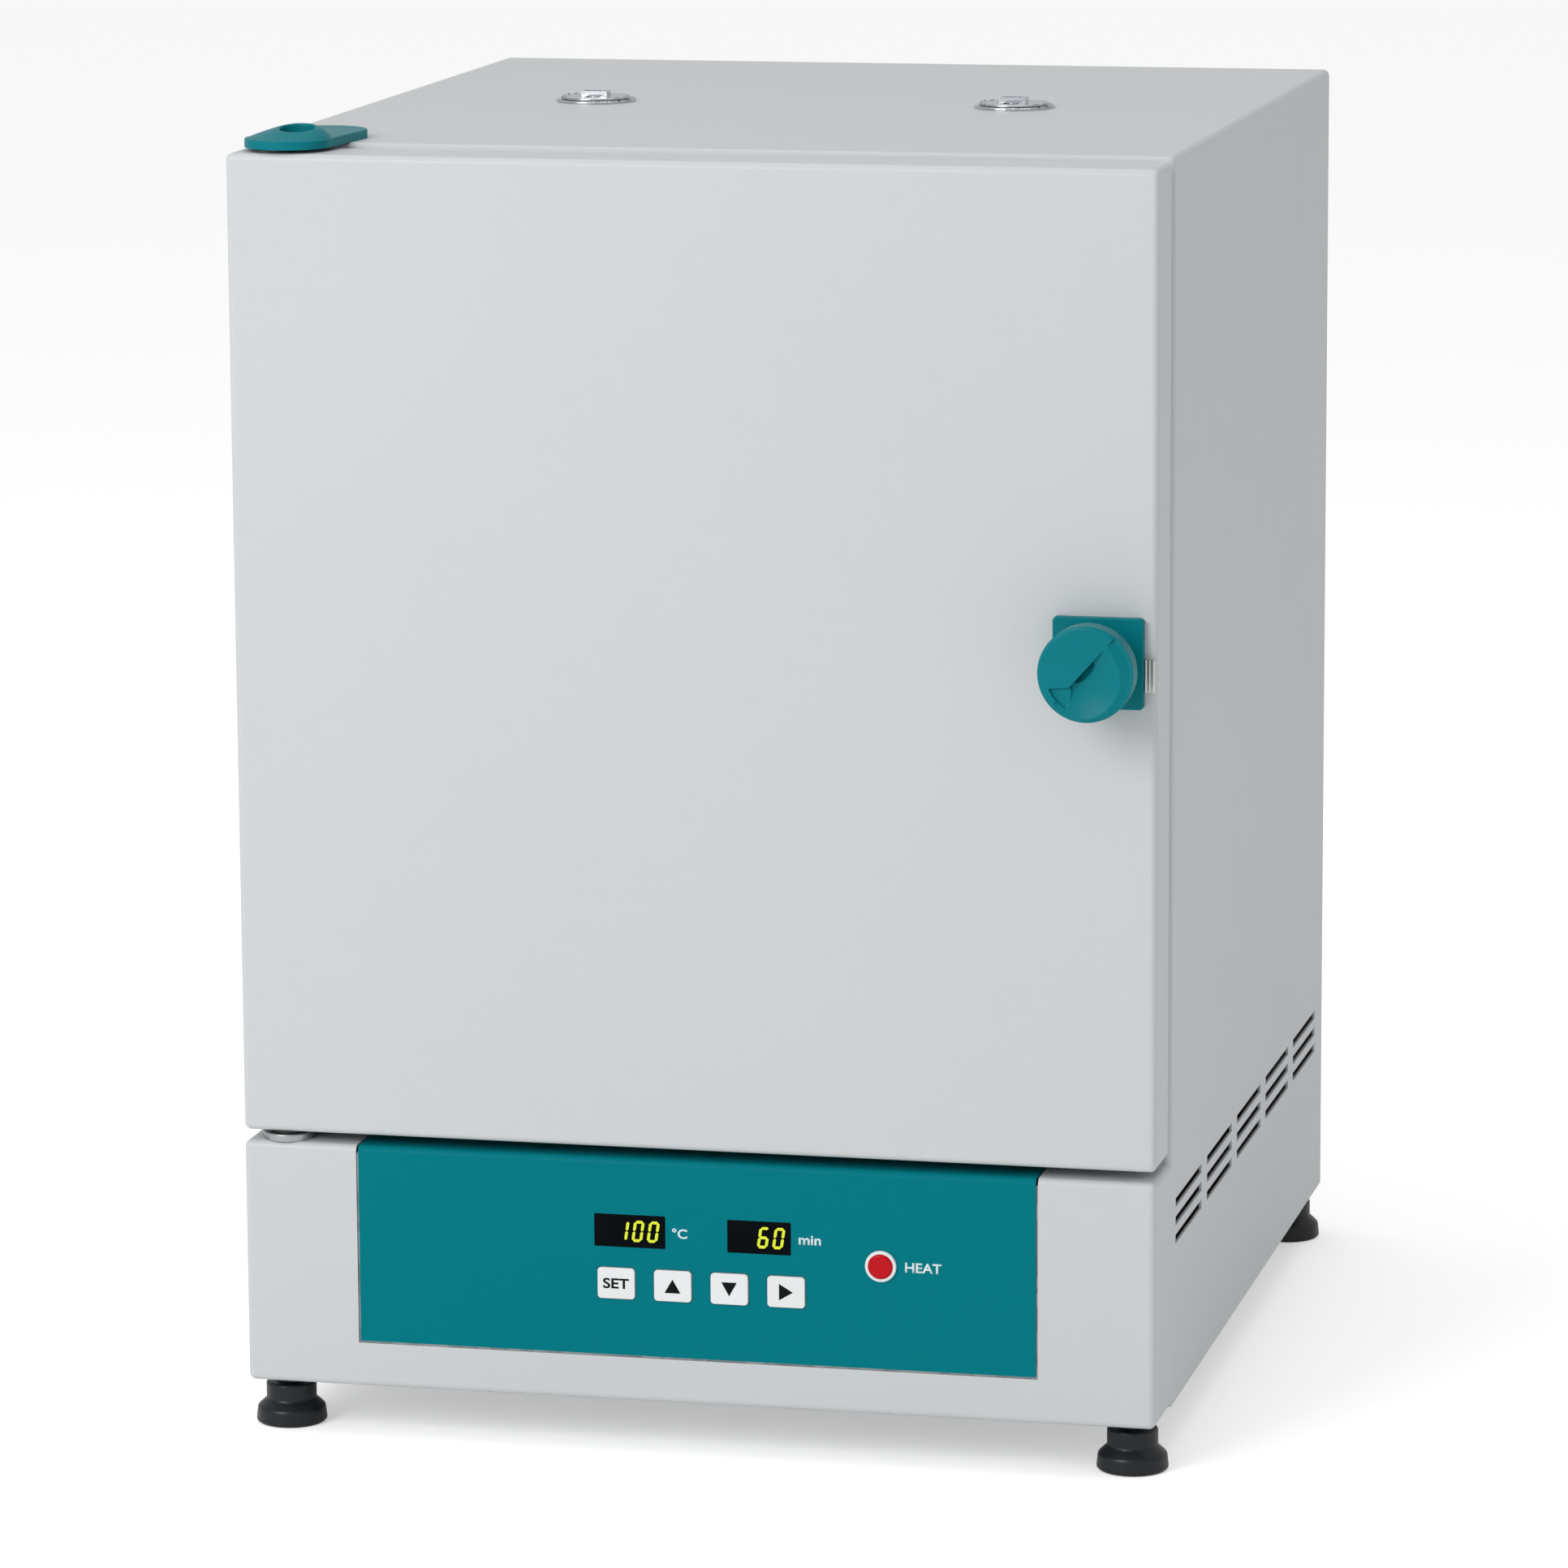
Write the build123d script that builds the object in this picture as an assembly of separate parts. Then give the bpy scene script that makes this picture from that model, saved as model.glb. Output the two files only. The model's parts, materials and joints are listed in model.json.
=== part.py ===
from build123d import *
from math import atan2, cos, radians, sin, tan
import os

# Forced air drying oven for a laboratory bench, in millimetres.
# +Z is up and the door faces -Y. The origin lies on the bench, under the middle of the whole part.

# Overall sizes
BODY_W = 530.0
BODY_H = 710.0
CABINET_D = 550.0
FOOT_H = 30.0
HOUSING_H = 142.0

# Sheet metal of the casing
SHEET = 1.5
EDGE_R = 4.0
LIP = 14.0

# Clearances
FIT = 0.3
RUNNING = 0.05
OVERCUT = 1.0
NEAR = 0.01

# Door
DOOR_T = 42.0
DOOR_GAP = 8.0
DOOR_RISE = 6.0
DOOR_DROP = 2.0
DOOR_LIP = 22.0
PANEL_SHEET = 1.2
PLUG_MARGIN = 12.0
PLUG_DEPTH = 10.0
PLUG_R = 10.0
GASKET_W = 10.0
GASKET_OFFSET = 6.0

# Chamber
CHAMBER_W = 400.0
CHAMBER_H = 420.0
CHAMBER_D = 380.0
CHAMBER_RISE = 76.0
CHAMBER_R = 12.0
LINER_T = 1.2
FRAME_T = 1.2
PLENUM_D = 50.0
TRAY_RISE = 16.5
BACK_INSULATION = 55.0

# Hinge of the door
PIN_R = 5.0
PIN_FROM_SIDE = 23.0
PIN_FROM_FRONT = 15.0
PIN_DEPTH = 18.0
PIN_HEAD_R = 8.0
PIN_HEAD_T = 1.4
BUSH_WALL = 3.0
BUSH_FLANGE_R = 11.0
BUSH_FLANGE_T = 1.6
HINGE_PLATE_T = 3.0
LOWER_ARM_R = 15.0
LOWER_ARM_W = 26.0

# Cap over the upper hinge
CAP_FRONT_R = 25.0
CAP_BACK_R = 23.5
CAP_LENGTH = 98.0
CAP_FROM_SIDE = 5.0
CAP_BACK_SHIFT = 7.0
CAP_WALL_H = 6.8
CAP_BOSS_H = 12.5
CAP_BOSS_R = 14.5
CAP_BOSS_SHIFT = 5.0
CAP_HOLE_R = 10.5
CAP_HOLE_DEPTH = 6.0
CAP_SKIN = 3.0
CAP_CAVITY_H = 4.9

# Latch
LATCH_FROM_SIDE = 32.6
LATCH_RISE = 436.0
LATCH_PLATE = 51.0
LATCH_PLATE_T = 5.0
KNOB_R = 27.0
KNOB_FACE_R = 24.0
KNOB_NECK_R = 18.0
KNOB_NECK_L = 11.5
KNOB_PROUD = 44.0
KNOB_BEVEL = 4.5
KNOB_DISH = 2.5
GRIP_TILT = 45.0
GRIP_DEPTH = 5.0
SPINDLE_R = 5.0
CAM_LENGTH = 20.0
CAM_WIDTH = 8.0
CAM_T = 5.0
CAM_CLEAR = 1.8
STRIKE_T = 2.0
STRIKE_SLOT_W = 12.0
STRIKE_SLOT_H = 26.0
GUIDE_W = 6.2
GUIDE_H = 18.0
GUIDE_T = 4.2
GUIDE_DROP = 6.5

# Control panel
PANEL_HALF = 197.0
PANEL_BOTTOM = 27.2
PANEL_TOP_D = 34.0
PANEL_GAP = 1.3
PANEL_FRAME_W = 14.0
PANEL_REST = 6.0
DISPLAY_H = 19.1
DISPLAY_RISE = 99.9
TEMPERATURE_W = 41.6
TEMPERATURE_X = -37.4
TIME_W = 37.0
TIME_X = 37.9
WINDOW_T = 1.2
LED_D = 8.0
BOARD_T = 1.6
KEY_W = 21.8
KEY_H = 18.1
KEY_R = 2.2
KEY_PITCH = 33.0
KEY_FIRST_X = -45.4
KEY_RISE = 69.2
KEY_PROUD = 1.3
KEY_GAP = 0.45
KEY_TRAVEL = 1.0
KEY_FLANGE = 1.5
LAMP_X = 108.3
LAMP_RISE = 87.0
LAMP_R = 9.0
LENS_R = 7.2

# Ventilation slots in both sides
SLOT_GROUPS = 5
SLOT_ROWS = 3
SLOT_L = 86.0
SLOT_H = 5.2
SLOT_PITCH_Y = 105.0
SLOT_PITCH_Z = 10.6
SLOT_FIRST_Y = 15.0
SLOT_TOP_RISE = 115.7

# Exhaust vents in the roof
VENT_LEFT_X = -133.0
VENT_RIGHT_X = 121.0
VENT_D = 270.0
VENT_R = 23.5
VENT_PLATE_T = 1.8
VENT_SKIRT_R = 17.5
VENT_SKIRT_L = 14.0
VENT_HUB_R = 3.0
VENT_HOLE_INNER = 5.5
VENT_HOLE_OUTER = 13.0
VENT_HOLE_HALF = 4.4
DAMPER_R = 20.5
DAMPER_T = 1.2
DAMPER_LIFT = 0.2
TAB_W = 16.0
TAB_D = 9.0
TAB_H = 3.2
DUCT_R = 15.0
DUCT_WALL = 1.0
DUCT_FLANGE_R = 22.0

# Levelling feet
FOOT_X = 247.5
FOOT_FRONT = 27.5
FOOT_BACK = 24.0
FOOT_BASE_R = 20.5
FOOT_BASE_H = 10.0
FOOT_SHOULDER_H = 4.0
FOOT_COLLAR_R = 14.5
FOOT_COLLAR_H = 10.3
FOOT_NECK_R = 8.5
FOOT_NECK_H = 2.2
STUD_R = 5.0
STUD_REACH = 28.0
NUT_R = 10.0
NUT_H = 14.0

# Shelves
SHELF_W = 378.0
SHELF_D = 340.0
SHELF_INSET = 28.0
SHELF_CORNER = 18.0
SHELF_ROD_R = 3.0
SHELF_WIRE_R = 1.5
SHELF_BRACE_R = 2.5
SHELF_WIRES = 15
SHELF_WELD = 0.8
RAIL_LEVELS = 5
RAIL_PITCH = 70.0
RAIL_FIRST = 70.0
RAIL_LEDGE = 14.0
RAIL_T = 1.2
RAIL_STRIP_W = 16.0
LOWER_LEVEL = 1
UPPER_LEVEL = 3

# Fan, motor and heater
FAN_R = 75.0
FAN_BACK = 9.0
FAN_H = 28.0
FAN_SHEET = 1.2
FAN_BLADES = 24
FAN_EYE_R = 48.0
BLADE_R = 42.0
BLADE_T = 1.4
SHAFT_R = 4.0
HUB_R = 9.0
HUB_L = 18.0
MOTOR_R = 38.0
MOTOR_L = 42.0
MOUNT_T = 2.0
MOUNT_SIZE = 124.0
MOUNT_LEG_R = 4.0
HEATER_R = 98.0
HEATER_TUBE_R = 4.2
HEATER_LEG_ANGLE = 16.0
HEATER_BEND_R = 9.0
HEATER_LEG_L = 40.0
GRILLE_HOLE_R = 5.5
GRILLE_PITCH = 17.0
GRILLE_RINGS = 3
OUTLET_W = 12.0
OUTLET_H = 58.0
OUTLET_COUNT = 5

# Back of the cabinet
BACK_FLANGE = 12.0
LOUVRE_W = 52.0
LOUVRE_H = 4.5
LOUVRE_COUNT = 8
LOUVRE_PITCH = 11.0
INLET_X = 150.0
INLET_RISE = 48.0
INLET_W = 49.0
INLET_H = 27.0
SWITCH_X = 205.0
SWITCH_W = 22.0
SWITCH_H = 30.0
FUSE_X = 102.0
ROCKER_R = 10.5
ROCKER_PROUD = 5.0
ROCKER_REST = 2.5
ROCKER_TILT = 16.0
ROCKER_AXIS_D = 4.0
FLANGE_T = 2.0
SCREW_R = 3.6
SCREW_H = 2.0
SCREW_L = 8.0
SCREW_SHANK_R = 1.9

# Places worked out from the sizes above
HALF_W = BODY_W / 2
Z_BASE = FOOT_H
Z_LEDGE = Z_BASE + HOUSING_H
Z_ROOF = Z_BASE + BODY_H
Z_DOOR = Z_LEDGE + DOOR_RISE
Z_DOOR_TOP = Z_ROOF - DOOR_DROP
FRONT_REACH = DOOR_GAP + DOOR_T + KNOB_PROUD
BACK_REACH = CABINET_D + ROCKER_PROUD
Y_CABINET = (FRONT_REACH - BACK_REACH) / 2
Y_BACK = Y_CABINET + CABINET_D
Y_DOOR_BACK = Y_CABINET - DOOR_GAP
Y_FRONT = Y_DOOR_BACK - DOOR_T
Y_FRAME = Y_CABINET + SHEET
Y_LINER = Y_FRAME + FRAME_T
Y_BAFFLE = Y_LINER + CHAMBER_D
Y_LINER_BACK = Y_BAFFLE + PLENUM_D
Y_MOUNT = Y_LINER_BACK + LINER_T + BACK_INSULATION
BEND_R = EDGE_R - SHEET
INNER_HALF = HALF_W - SHEET
LINING_HALF = INNER_HALF - BEND_R - FIT
CHAMBER_HALF = CHAMBER_W / 2
Z_CHAMBER = Z_LEDGE + CHAMBER_RISE
Z_CHAMBER_TOP = Z_CHAMBER + CHAMBER_H
Z_TRAY = Z_LEDGE + TRAY_RISE
Z_FAN = Z_CHAMBER + CHAMBER_H / 2
PIN_X = PIN_FROM_SIDE - HALF_W
PIN_Y = Y_FRONT + PIN_FROM_FRONT
BUSH_R = PIN_R + BUSH_WALL
LATCH_X = HALF_W - LATCH_FROM_SIDE
LATCH_Z = Z_BASE + LATCH_RISE
PANEL_BACK = Y_FRONT + SHEET
Y_BOARD = PANEL_BACK + WINDOW_T + LED_D
VENT_Y = Y_CABINET + VENT_D
Z_DISPLAY = Z_BASE + DISPLAY_RISE
Z_KEYS = Z_BASE + KEY_RISE
Z_LAMP = Z_BASE + LAMP_RISE
Z_BACK_FITTINGS = Z_BASE + INLET_RISE
VENT_PLACES = ((VENT_LEFT_X, "left"), (VENT_RIGHT_X, "right"))
FOOT_PLACES = {
    "front_left": (-FOOT_X, Y_FRONT + FOOT_FRONT),
    "front_right": (FOOT_X, Y_FRONT + FOOT_FRONT),
    "rear_left": (-FOOT_X, Y_BACK - FOOT_BACK),
    "rear_right": (FOOT_X, Y_BACK - FOOT_BACK),
}
KEY_NAMES = ("set_key", "up_key", "down_key", "start_key")


def block(x0, x1, y0, y1, z0, z1):
    """Box between two opposite corners."""
    middle = Pos((x0 + x1) / 2, (y0 + y1) / 2, (z0 + z1) / 2)
    return middle * Box(abs(x1 - x0), abs(y1 - y0), abs(z1 - z0))


def post(x, y, z0, z1, radius):
    """Round bar that stands upright."""
    return Pos(x, y, (z0 + z1) / 2) * Cylinder(radius, z1 - z0)


def bar(x, z, y0, y1, radius):
    """Round bar that runs from front to back."""
    return Pos(x, (y0 + y1) / 2, z) * Rot(90, 0, 0) * Cylinder(radius, y1 - y0)


def upright(outline, y0, y1):
    """Outline drawn in X and Z, given depth from y0 back to y1."""
    return Pos(0, y1, 0) * extrude(Plane.XZ * outline, y1 - y0)


def level(outline, z0, z1):
    """Outline drawn in X and Y, given height from z0 up to z1."""
    return Pos(0, 0, z0) * extrude(outline, z1 - z0)


def window(x, z, width, height, radius, y0, y1):
    """Upright plate with rounded corners, centred on x and z."""
    return upright(Pos(x, z) * RectangleRounded(width, height, radius), y0, y1)


def rounded_where(body, radius, picked):
    """Body with the edges rounded whose middle the test picks."""
    return fillet([edge for edge in body.edges() if picked(edge.center())], radius)


def case_envelope(inset):
    """Cabinet and control housing as one block, drawn in by inset."""
    x = HALF_W - inset
    floor = Z_BASE + inset
    back = Y_BACK + (OVERCUT if inset else 0)
    radius = EDGE_R - inset
    cabinet = block(-x, x, Y_CABINET + inset, back, floor, Z_ROOF - inset)
    cabinet = rounded_where(cabinet, radius, lambda c: c.Y < back - NEAR and c.Z > floor + NEAR)
    housing = block(-x, x, Y_FRONT + inset, back, floor, Z_LEDGE - inset)
    return cabinet + rounded_where(housing, radius, lambda c: c.Y < back - NEAR)


def side_slots():
    """Cutters for the groups of ventilation slots, through both sides."""
    first = Y_CABINET + SLOT_FIRST_Y
    cutters = []
    for group in range(SLOT_GROUPS):
        for row in range(SLOT_ROWS):
            y = first + group * SLOT_PITCH_Y
            z = Z_BASE + SLOT_TOP_RISE - row * SLOT_PITCH_Z
            for side in (-1, 1):
                inside, outside = side * (HALF_W - SHEET - OVERCUT), side * (HALF_W + OVERCUT)
                cutters.append(block(inside, outside, y, y + SLOT_L, z - SLOT_H / 2, z + SLOT_H / 2))
    return cutters


def make_outer_case():
    """Roof, both sides, ledge and housing front, welded from sheet and painted."""
    case = case_envelope(0) - case_envelope(SHEET)
    mouth = HALF_W - LIP
    case -= block(-mouth, mouth, Y_CABINET - OVERCUT, Y_LINER, Z_LEDGE + LIP, Z_ROOF - LIP)
    case -= block(-mouth, mouth, Y_FRONT + LIP, Y_BACK + OVERCUT, Z_BASE - OVERCUT, Z_BASE + SHEET + OVERCUT)
    hole = PANEL_HALF + PANEL_GAP
    panel_low = Z_BASE + PANEL_BOTTOM - PANEL_GAP
    case -= block(-hole, hole, Y_FRONT - OVERCUT, PANEL_BACK + OVERCUT, panel_low, Z_LEDGE + OVERCUT)
    ledge_back = Y_FRONT + PANEL_TOP_D + PANEL_GAP
    case -= block(-hole, hole, Y_FRONT - OVERCUT, ledge_back, Z_LEDGE - EDGE_R, Z_LEDGE + OVERCUT)
    case -= side_slots()
    vent_hole = VENT_SKIRT_R + FIT
    case -= [post(x, VENT_Y, Z_ROOF - SHEET - OVERCUT, Z_ROOF + OVERCUT, vent_hole) for x, _ in VENT_PLACES]
    stud_hole = STUD_R + OVERCUT
    case -= [post(x, y, Z_BASE - OVERCUT, Z_BASE + SHEET + OVERCUT, stud_hole) for x, y in FOOT_PLACES.values()]
    return case


def strike_slot(y0, y1):
    """Upright slot that the latch cam goes through."""
    return window(LATCH_X, LATCH_Z, STRIKE_SLOT_W, STRIKE_SLOT_H, STRIKE_SLOT_W / 3, y0, y1)


def chamber_mouth(grow, y0, y1):
    """Chamber's rounded outline, made larger by grow all round."""
    width = CHAMBER_W + 2 * grow
    height = CHAMBER_H + 2 * grow
    return window(0, Z_FAN, width, height, CHAMBER_R + grow, y0, y1)


def make_front_frame():
    """Sheet that closes the cabinet's front between the case and the chamber."""
    top = Z_ROOF - SHEET - BEND_R - FIT
    frame = block(-LINING_HALF, LINING_HALF, Y_FRAME, Y_LINER, Z_LEDGE + FIT, top)
    frame -= chamber_mouth(0, Y_FRAME - OVERCUT, Y_LINER + OVERCUT)
    return frame - strike_slot(Y_FRAME - OVERCUT, Y_LINER + OVERCUT)


def make_strike_plate():
    """Steel plate behind the frame that the latch cam hooks behind."""
    y1 = Y_LINER + STRIKE_T
    plate = window(LATCH_X, LATCH_Z, STRIKE_SLOT_W + 18, STRIKE_SLOT_H + 34, 4, Y_LINER, y1)
    plate -= strike_slot(Y_LINER - OVERCUT, y1 + OVERCUT)
    for side in (-1, 1):
        plate -= bar(LATCH_X, LATCH_Z + side * (STRIKE_SLOT_H / 2 + 9), Y_LINER - OVERCUT, y1 + OVERCUT, 2.2)
    return plate


def make_base_pan():
    """Floor sheet of the housing with a threaded boss over each foot."""
    x = LINING_HALF
    z0 = Z_BASE + SHEET
    z1 = z0 + SHEET
    pan = block(-x, x, PANEL_BACK + BEND_R + FIT, Y_BACK - SHEET - FIT, z0, z1)
    pan += [post(px, py, z1, z1 + NUT_H, NUT_R) for px, py in FOOT_PLACES.values()]
    bore = STUD_R + RUNNING
    pan -= [post(px, py, z0 - OVERCUT, z1 + NUT_H + OVERCUT, bore) for px, py in FOOT_PLACES.values()]
    for column in range(-3, 4):
        y = (Y_CABINET + Y_BACK) / 2
        pan -= level(Pos(column * 24, y) * SlotOverall(150, 6, rotation=90), z0 - OVERCUT, z1 + OVERCUT)
    return pan


def back_screw_places():
    """Places of the screws that hold the back panel."""
    x = INNER_HALF - 10
    heights = [Z_BASE + 14 + row * (BODY_H - 28) / 3 for row in range(4)]
    return [(side * x, z) for side in (-1, 1) for z in heights]


def make_back_panel():
    """Removable back with louvres for the motor and cut-outs for the mains fittings."""
    half = LINING_HALF + BEND_R
    low = Z_BASE + SHEET * 2 + FIT
    high = Z_ROOF - SHEET - FIT
    y0 = Y_BACK - SHEET
    tray = window(0, (low + high) / 2, 2 * half, high - low, EDGE_R, y0 - BACK_FLANGE, Y_BACK)
    tray -= window(
        0, (low + high) / 2, 2 * (half - SHEET), high - low - 2 * SHEET, BEND_R, y0 - BACK_FLANGE - OVERCUT, y0
    )
    middle = (LOUVRE_COUNT - 1) / 2
    for row in range(LOUVRE_COUNT):
        z = Z_FAN + (row - middle) * LOUVRE_PITCH
        for side in (-1, 1):
            x = side * (LOUVRE_W / 2 + 5)
            tray -= window(x, z, LOUVRE_W, LOUVRE_H, LOUVRE_H / 2 - NEAR, y0 - OVERCUT, Y_BACK + OVERCUT)
    inlet = (INLET_X, Z_BACK_FITTINGS, 28.0 + 2 * FIT, 20.4 + 2 * FIT)
    switch = (SWITCH_X, Z_BACK_FITTINGS, SWITCH_W - 3 + 2 * FIT, SWITCH_H - 3 + 2 * FIT)
    for x, z, width, height in (inlet, switch):
        tray -= window(x, z, width, height, 1, y0 - OVERCUT, Y_BACK + OVERCUT)
    tray -= bar(FUSE_X, Z_BACK_FITTINGS, y0 - OVERCUT, Y_BACK + OVERCUT, 6.5 + FIT)
    screw_hole = SCREW_SHANK_R + 0.15
    return tray - [bar(x, z, y0 - OVERCUT, Y_BACK + OVERCUT, screw_hole) for x, z in back_screw_places()]


def make_case_screws():
    """Pan head screws of the back panel."""
    screws = []
    for x, z in back_screw_places():
        head = bar(x, z, Y_BACK, Y_BACK + SCREW_H, SCREW_R)
        screws.append(head + bar(x, z, Y_BACK - SCREW_L, Y_BACK, SCREW_SHANK_R))
    return screws


def make_chamber_liner():
    """Stainless chamber, open at the front, with the holes that pass through it."""
    liner = chamber_mouth(LINER_T, Y_LINER, Y_LINER_BACK + LINER_T)
    liner -= chamber_mouth(0, Y_LINER - OVERCUT, Y_LINER_BACK)
    ceiling = (Z_CHAMBER_TOP - OVERCUT, Z_CHAMBER_TOP + LINER_T + OVERCUT)
    liner -= [post(x, VENT_Y, *ceiling, DUCT_R - DUCT_WALL) for x, _ in VENT_PLACES]
    wall = (Y_LINER_BACK - OVERCUT, Y_LINER_BACK + LINER_T + OVERCUT)
    liner -= bar(0, Z_FAN, *wall, SHAFT_R + 2)
    return liner - [bar(x, z, *wall, HEATER_TUBE_R + FIT) for x, z in heater_leg_places()]


def make_insulation_tray():
    """Sheet over the electronics that carries the insulation below the chamber."""
    z1 = Z_TRAY + SHEET
    return block(-LINING_HALF, LINING_HALF, Y_LINER, Y_BACK - SHEET - BACK_FLANGE - FIT, Z_TRAY, z1)


def make_insulation():
    """Mineral wool slabs around the chamber."""
    low = Z_TRAY + SHEET + FIT
    high = Z_ROOF - SHEET - BEND_R - FIT
    y0 = Y_LINER + FIT
    y1 = Y_MOUNT - FIT
    side_in = CHAMBER_HALF + LINER_T + FIT
    under = Z_CHAMBER - LINER_T - FIT
    over = Z_CHAMBER_TOP + LINER_T + FIT
    slabs = [block(side * side_in, side * LINING_HALF, y0, y1, low, high) for side in (-1, 1)]
    pocket_y = Y_LINER + STRIKE_T + CAM_CLEAR + CAM_T + 6
    pocket = (LATCH_X - 20, LATCH_X + 20, Y_LINER, pocket_y, LATCH_Z - 34, LATCH_Z + 34)
    slabs[1] -= block(*pocket)
    top = block(-side_in + FIT, side_in - FIT, y0, y1, over, high)
    top -= [post(x, VENT_Y, over - OVERCUT, high + OVERCUT, DUCT_FLANGE_R + FIT) for x, _ in VENT_PLACES]
    bottom = block(-side_in + FIT, side_in - FIT, y0, y1, low, under)
    rear_y = Y_LINER_BACK + LINER_T + FIT
    rear = block(-side_in + FIT, side_in - FIT, rear_y, y1, under + FIT, over - FIT)
    rear -= bar(0, Z_FAN, rear_y - OVERCUT, y1 + OVERCUT, 22)
    rear -= [bar(x, z, rear_y - OVERCUT, y1 + OVERCUT, MOUNT_LEG_R + FIT) for x, z in mount_leg_places()]
    rear -= [bar(x, z, rear_y - OVERCUT, y1 + OVERCUT, HEATER_TUBE_R + 5) for x, z in heater_leg_places()]
    return [*slabs, top, bottom, rear]


def shelf_level(index):
    """Height of one pair of ledges."""
    return Z_CHAMBER + RAIL_FIRST + index * RAIL_PITCH


def make_shelf_rails():
    """Left and right racks whose ledges carry the shelves."""
    y0 = Y_LINER + SHELF_INSET - 4
    y1 = Y_BAFFLE - 8
    racks = []
    for side in (-1, 1):
        wall = side * CHAMBER_HALF
        face = side * (CHAMBER_HALF - RAIL_T)
        tip = side * (CHAMBER_HALF - RAIL_LEDGE)
        low = shelf_level(0) - 22
        high = shelf_level(RAIL_LEVELS - 1) + 22
        rack = None
        for y in (y0 + 40, y1 - 40 - RAIL_STRIP_W):
            strip = block(wall, face, y, y + RAIL_STRIP_W, low, high)
            rack = strip if rack is None else rack + strip
        for index in range(RAIL_LEVELS):
            z = shelf_level(index)
            rack += block(wall, tip, y0, y1, z - RAIL_T, z)
            rack += block(wall, face, y0, y1, z - 8, z)
        racks.append(rack)
    return racks


def make_shelf(index):
    """Wire shelf that lies on one pair of ledges."""
    z = shelf_level(index) + FIT + SHELF_ROD_R
    y0 = Y_LINER + SHELF_INSET
    yc = y0 + SHELF_D / 2
    half_w = SHELF_W / 2 - SHELF_ROD_R
    half_d = SHELF_D / 2 - SHELF_ROD_R
    loop = RectangleRounded(2 * half_w, 2 * half_d, SHELF_CORNER).wire()
    start = Plane(origin=loop @ 0, z_dir=loop % 0)
    frame = Pos(0, yc, z) * sweep(start * Circle(SHELF_ROD_R), path=loop)
    pitch = (2 * half_w - 2 * SHELF_CORNER) / (SHELF_WIRES - 1)
    wire_z = z + SHELF_ROD_R + SHELF_WIRE_R - SHELF_WELD
    reach = half_d + SHELF_WIRE_R / 2
    wires = [
        bar(-half_w + SHELF_CORNER + n * pitch, wire_z, yc - reach, yc + reach, SHELF_WIRE_R)
        for n in range(SHELF_WIRES)
    ]
    brace_z = z + SHELF_ROD_R - SHELF_BRACE_R
    brace = Pos(0, yc, brace_z) * Rot(0, 90, 0) * Cylinder(SHELF_BRACE_R, 2 * half_w)
    return frame + brace + wires


def grille_places():
    """Hole centres of the round intake, in rings around the fan's axis."""
    places = [(0.0, 0.0)]
    for ring in range(1, GRILLE_RINGS + 1):
        count = 6 * ring
        for n in range(count):
            angle = radians(360 * n / count)
            places.append((ring * GRILLE_PITCH * cos(angle), ring * GRILLE_PITCH * sin(angle)))
    return places


def make_fan_baffle():
    """Perforated rear wall of the chamber, with the fan and heater behind it."""
    y1 = Y_BAFFLE + LINER_T
    baffle = chamber_mouth(-FIT, Y_BAFFLE, y1)
    rim = chamber_mouth(-FIT, y1 - NEAR, y1 + PLENUM_D / 4)
    baffle += rim - chamber_mouth(-FIT - LINER_T, y1 - OVERCUT, y1 + PLENUM_D / 2)
    baffle -= [
        bar(x, Z_FAN + z, Y_BAFFLE - OVERCUT, y1 + OVERCUT, GRILLE_HOLE_R) for x, z in grille_places()
    ]
    pitch = CHAMBER_H / (OUTLET_COUNT + 1)
    for row in range(OUTLET_COUNT):
        z = Z_CHAMBER + pitch * (row + 1)
        for side in (-1, 1):
            x = side * (CHAMBER_HALF - 34)
            baffle -= window(x, z, OUTLET_W, OUTLET_H, OUTLET_W / 3, Y_BAFFLE - OVERCUT, y1 + OVERCUT)
    return baffle


def make_fan_impeller():
    """Radial fan wheel: hub, back plate, curved blades and a front ring."""
    y1 = Y_LINER_BACK - FAN_BACK
    y0 = y1 - FAN_SHEET - FAN_H
    wheel = bar(0, Z_FAN, y1 - FAN_SHEET, y1, FAN_R)
    wheel += bar(0, Z_FAN, y1 - HUB_L, y1, HUB_R)
    ring = bar(0, Z_FAN, y0 - FAN_SHEET, y0, FAN_R) - bar(0, Z_FAN, y0 - 5, y0 + 5, FAN_EYE_R)
    wheel += ring
    inner = FAN_EYE_R + 1
    start = (inner, 0)
    end = (FAN_R - 1, (FAN_R - inner) * 0.5)
    curve = RadiusArc(start, end, BLADE_R)
    outline = trace(curve, BLADE_T)
    blade = upright(outline, y0 - FAN_SHEET / 2, y1 - FAN_SHEET / 2)
    step = 360 / FAN_BLADES
    wheel += [Pos(0, 0, Z_FAN) * Rot(0, n * step, 0) * blade for n in range(FAN_BLADES)]
    return wheel - bar(0, Z_FAN, y0 - OVERCUT, y1 + OVERCUT, SHAFT_R)


def make_fan_shaft():
    """Motor shaft that carries the wheel, with a thrust collar in front of the motor."""
    front = Y_LINER_BACK - FAN_BACK - HUB_L - 2
    shaft = bar(0, Z_FAN, front, Y_MOUNT + MOUNT_T + MOTOR_L / 2, SHAFT_R)
    return shaft + bar(0, Z_FAN, Y_MOUNT - 6, Y_MOUNT - 2, SHAFT_R + 3)


def mount_leg_places():
    """Corners of the motor's mounting plate."""
    reach = MOUNT_SIZE / 2 - 9
    return [(sx * reach, Z_FAN + sz * reach) for sx in (-1, 1) for sz in (-1, 1)]


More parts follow.
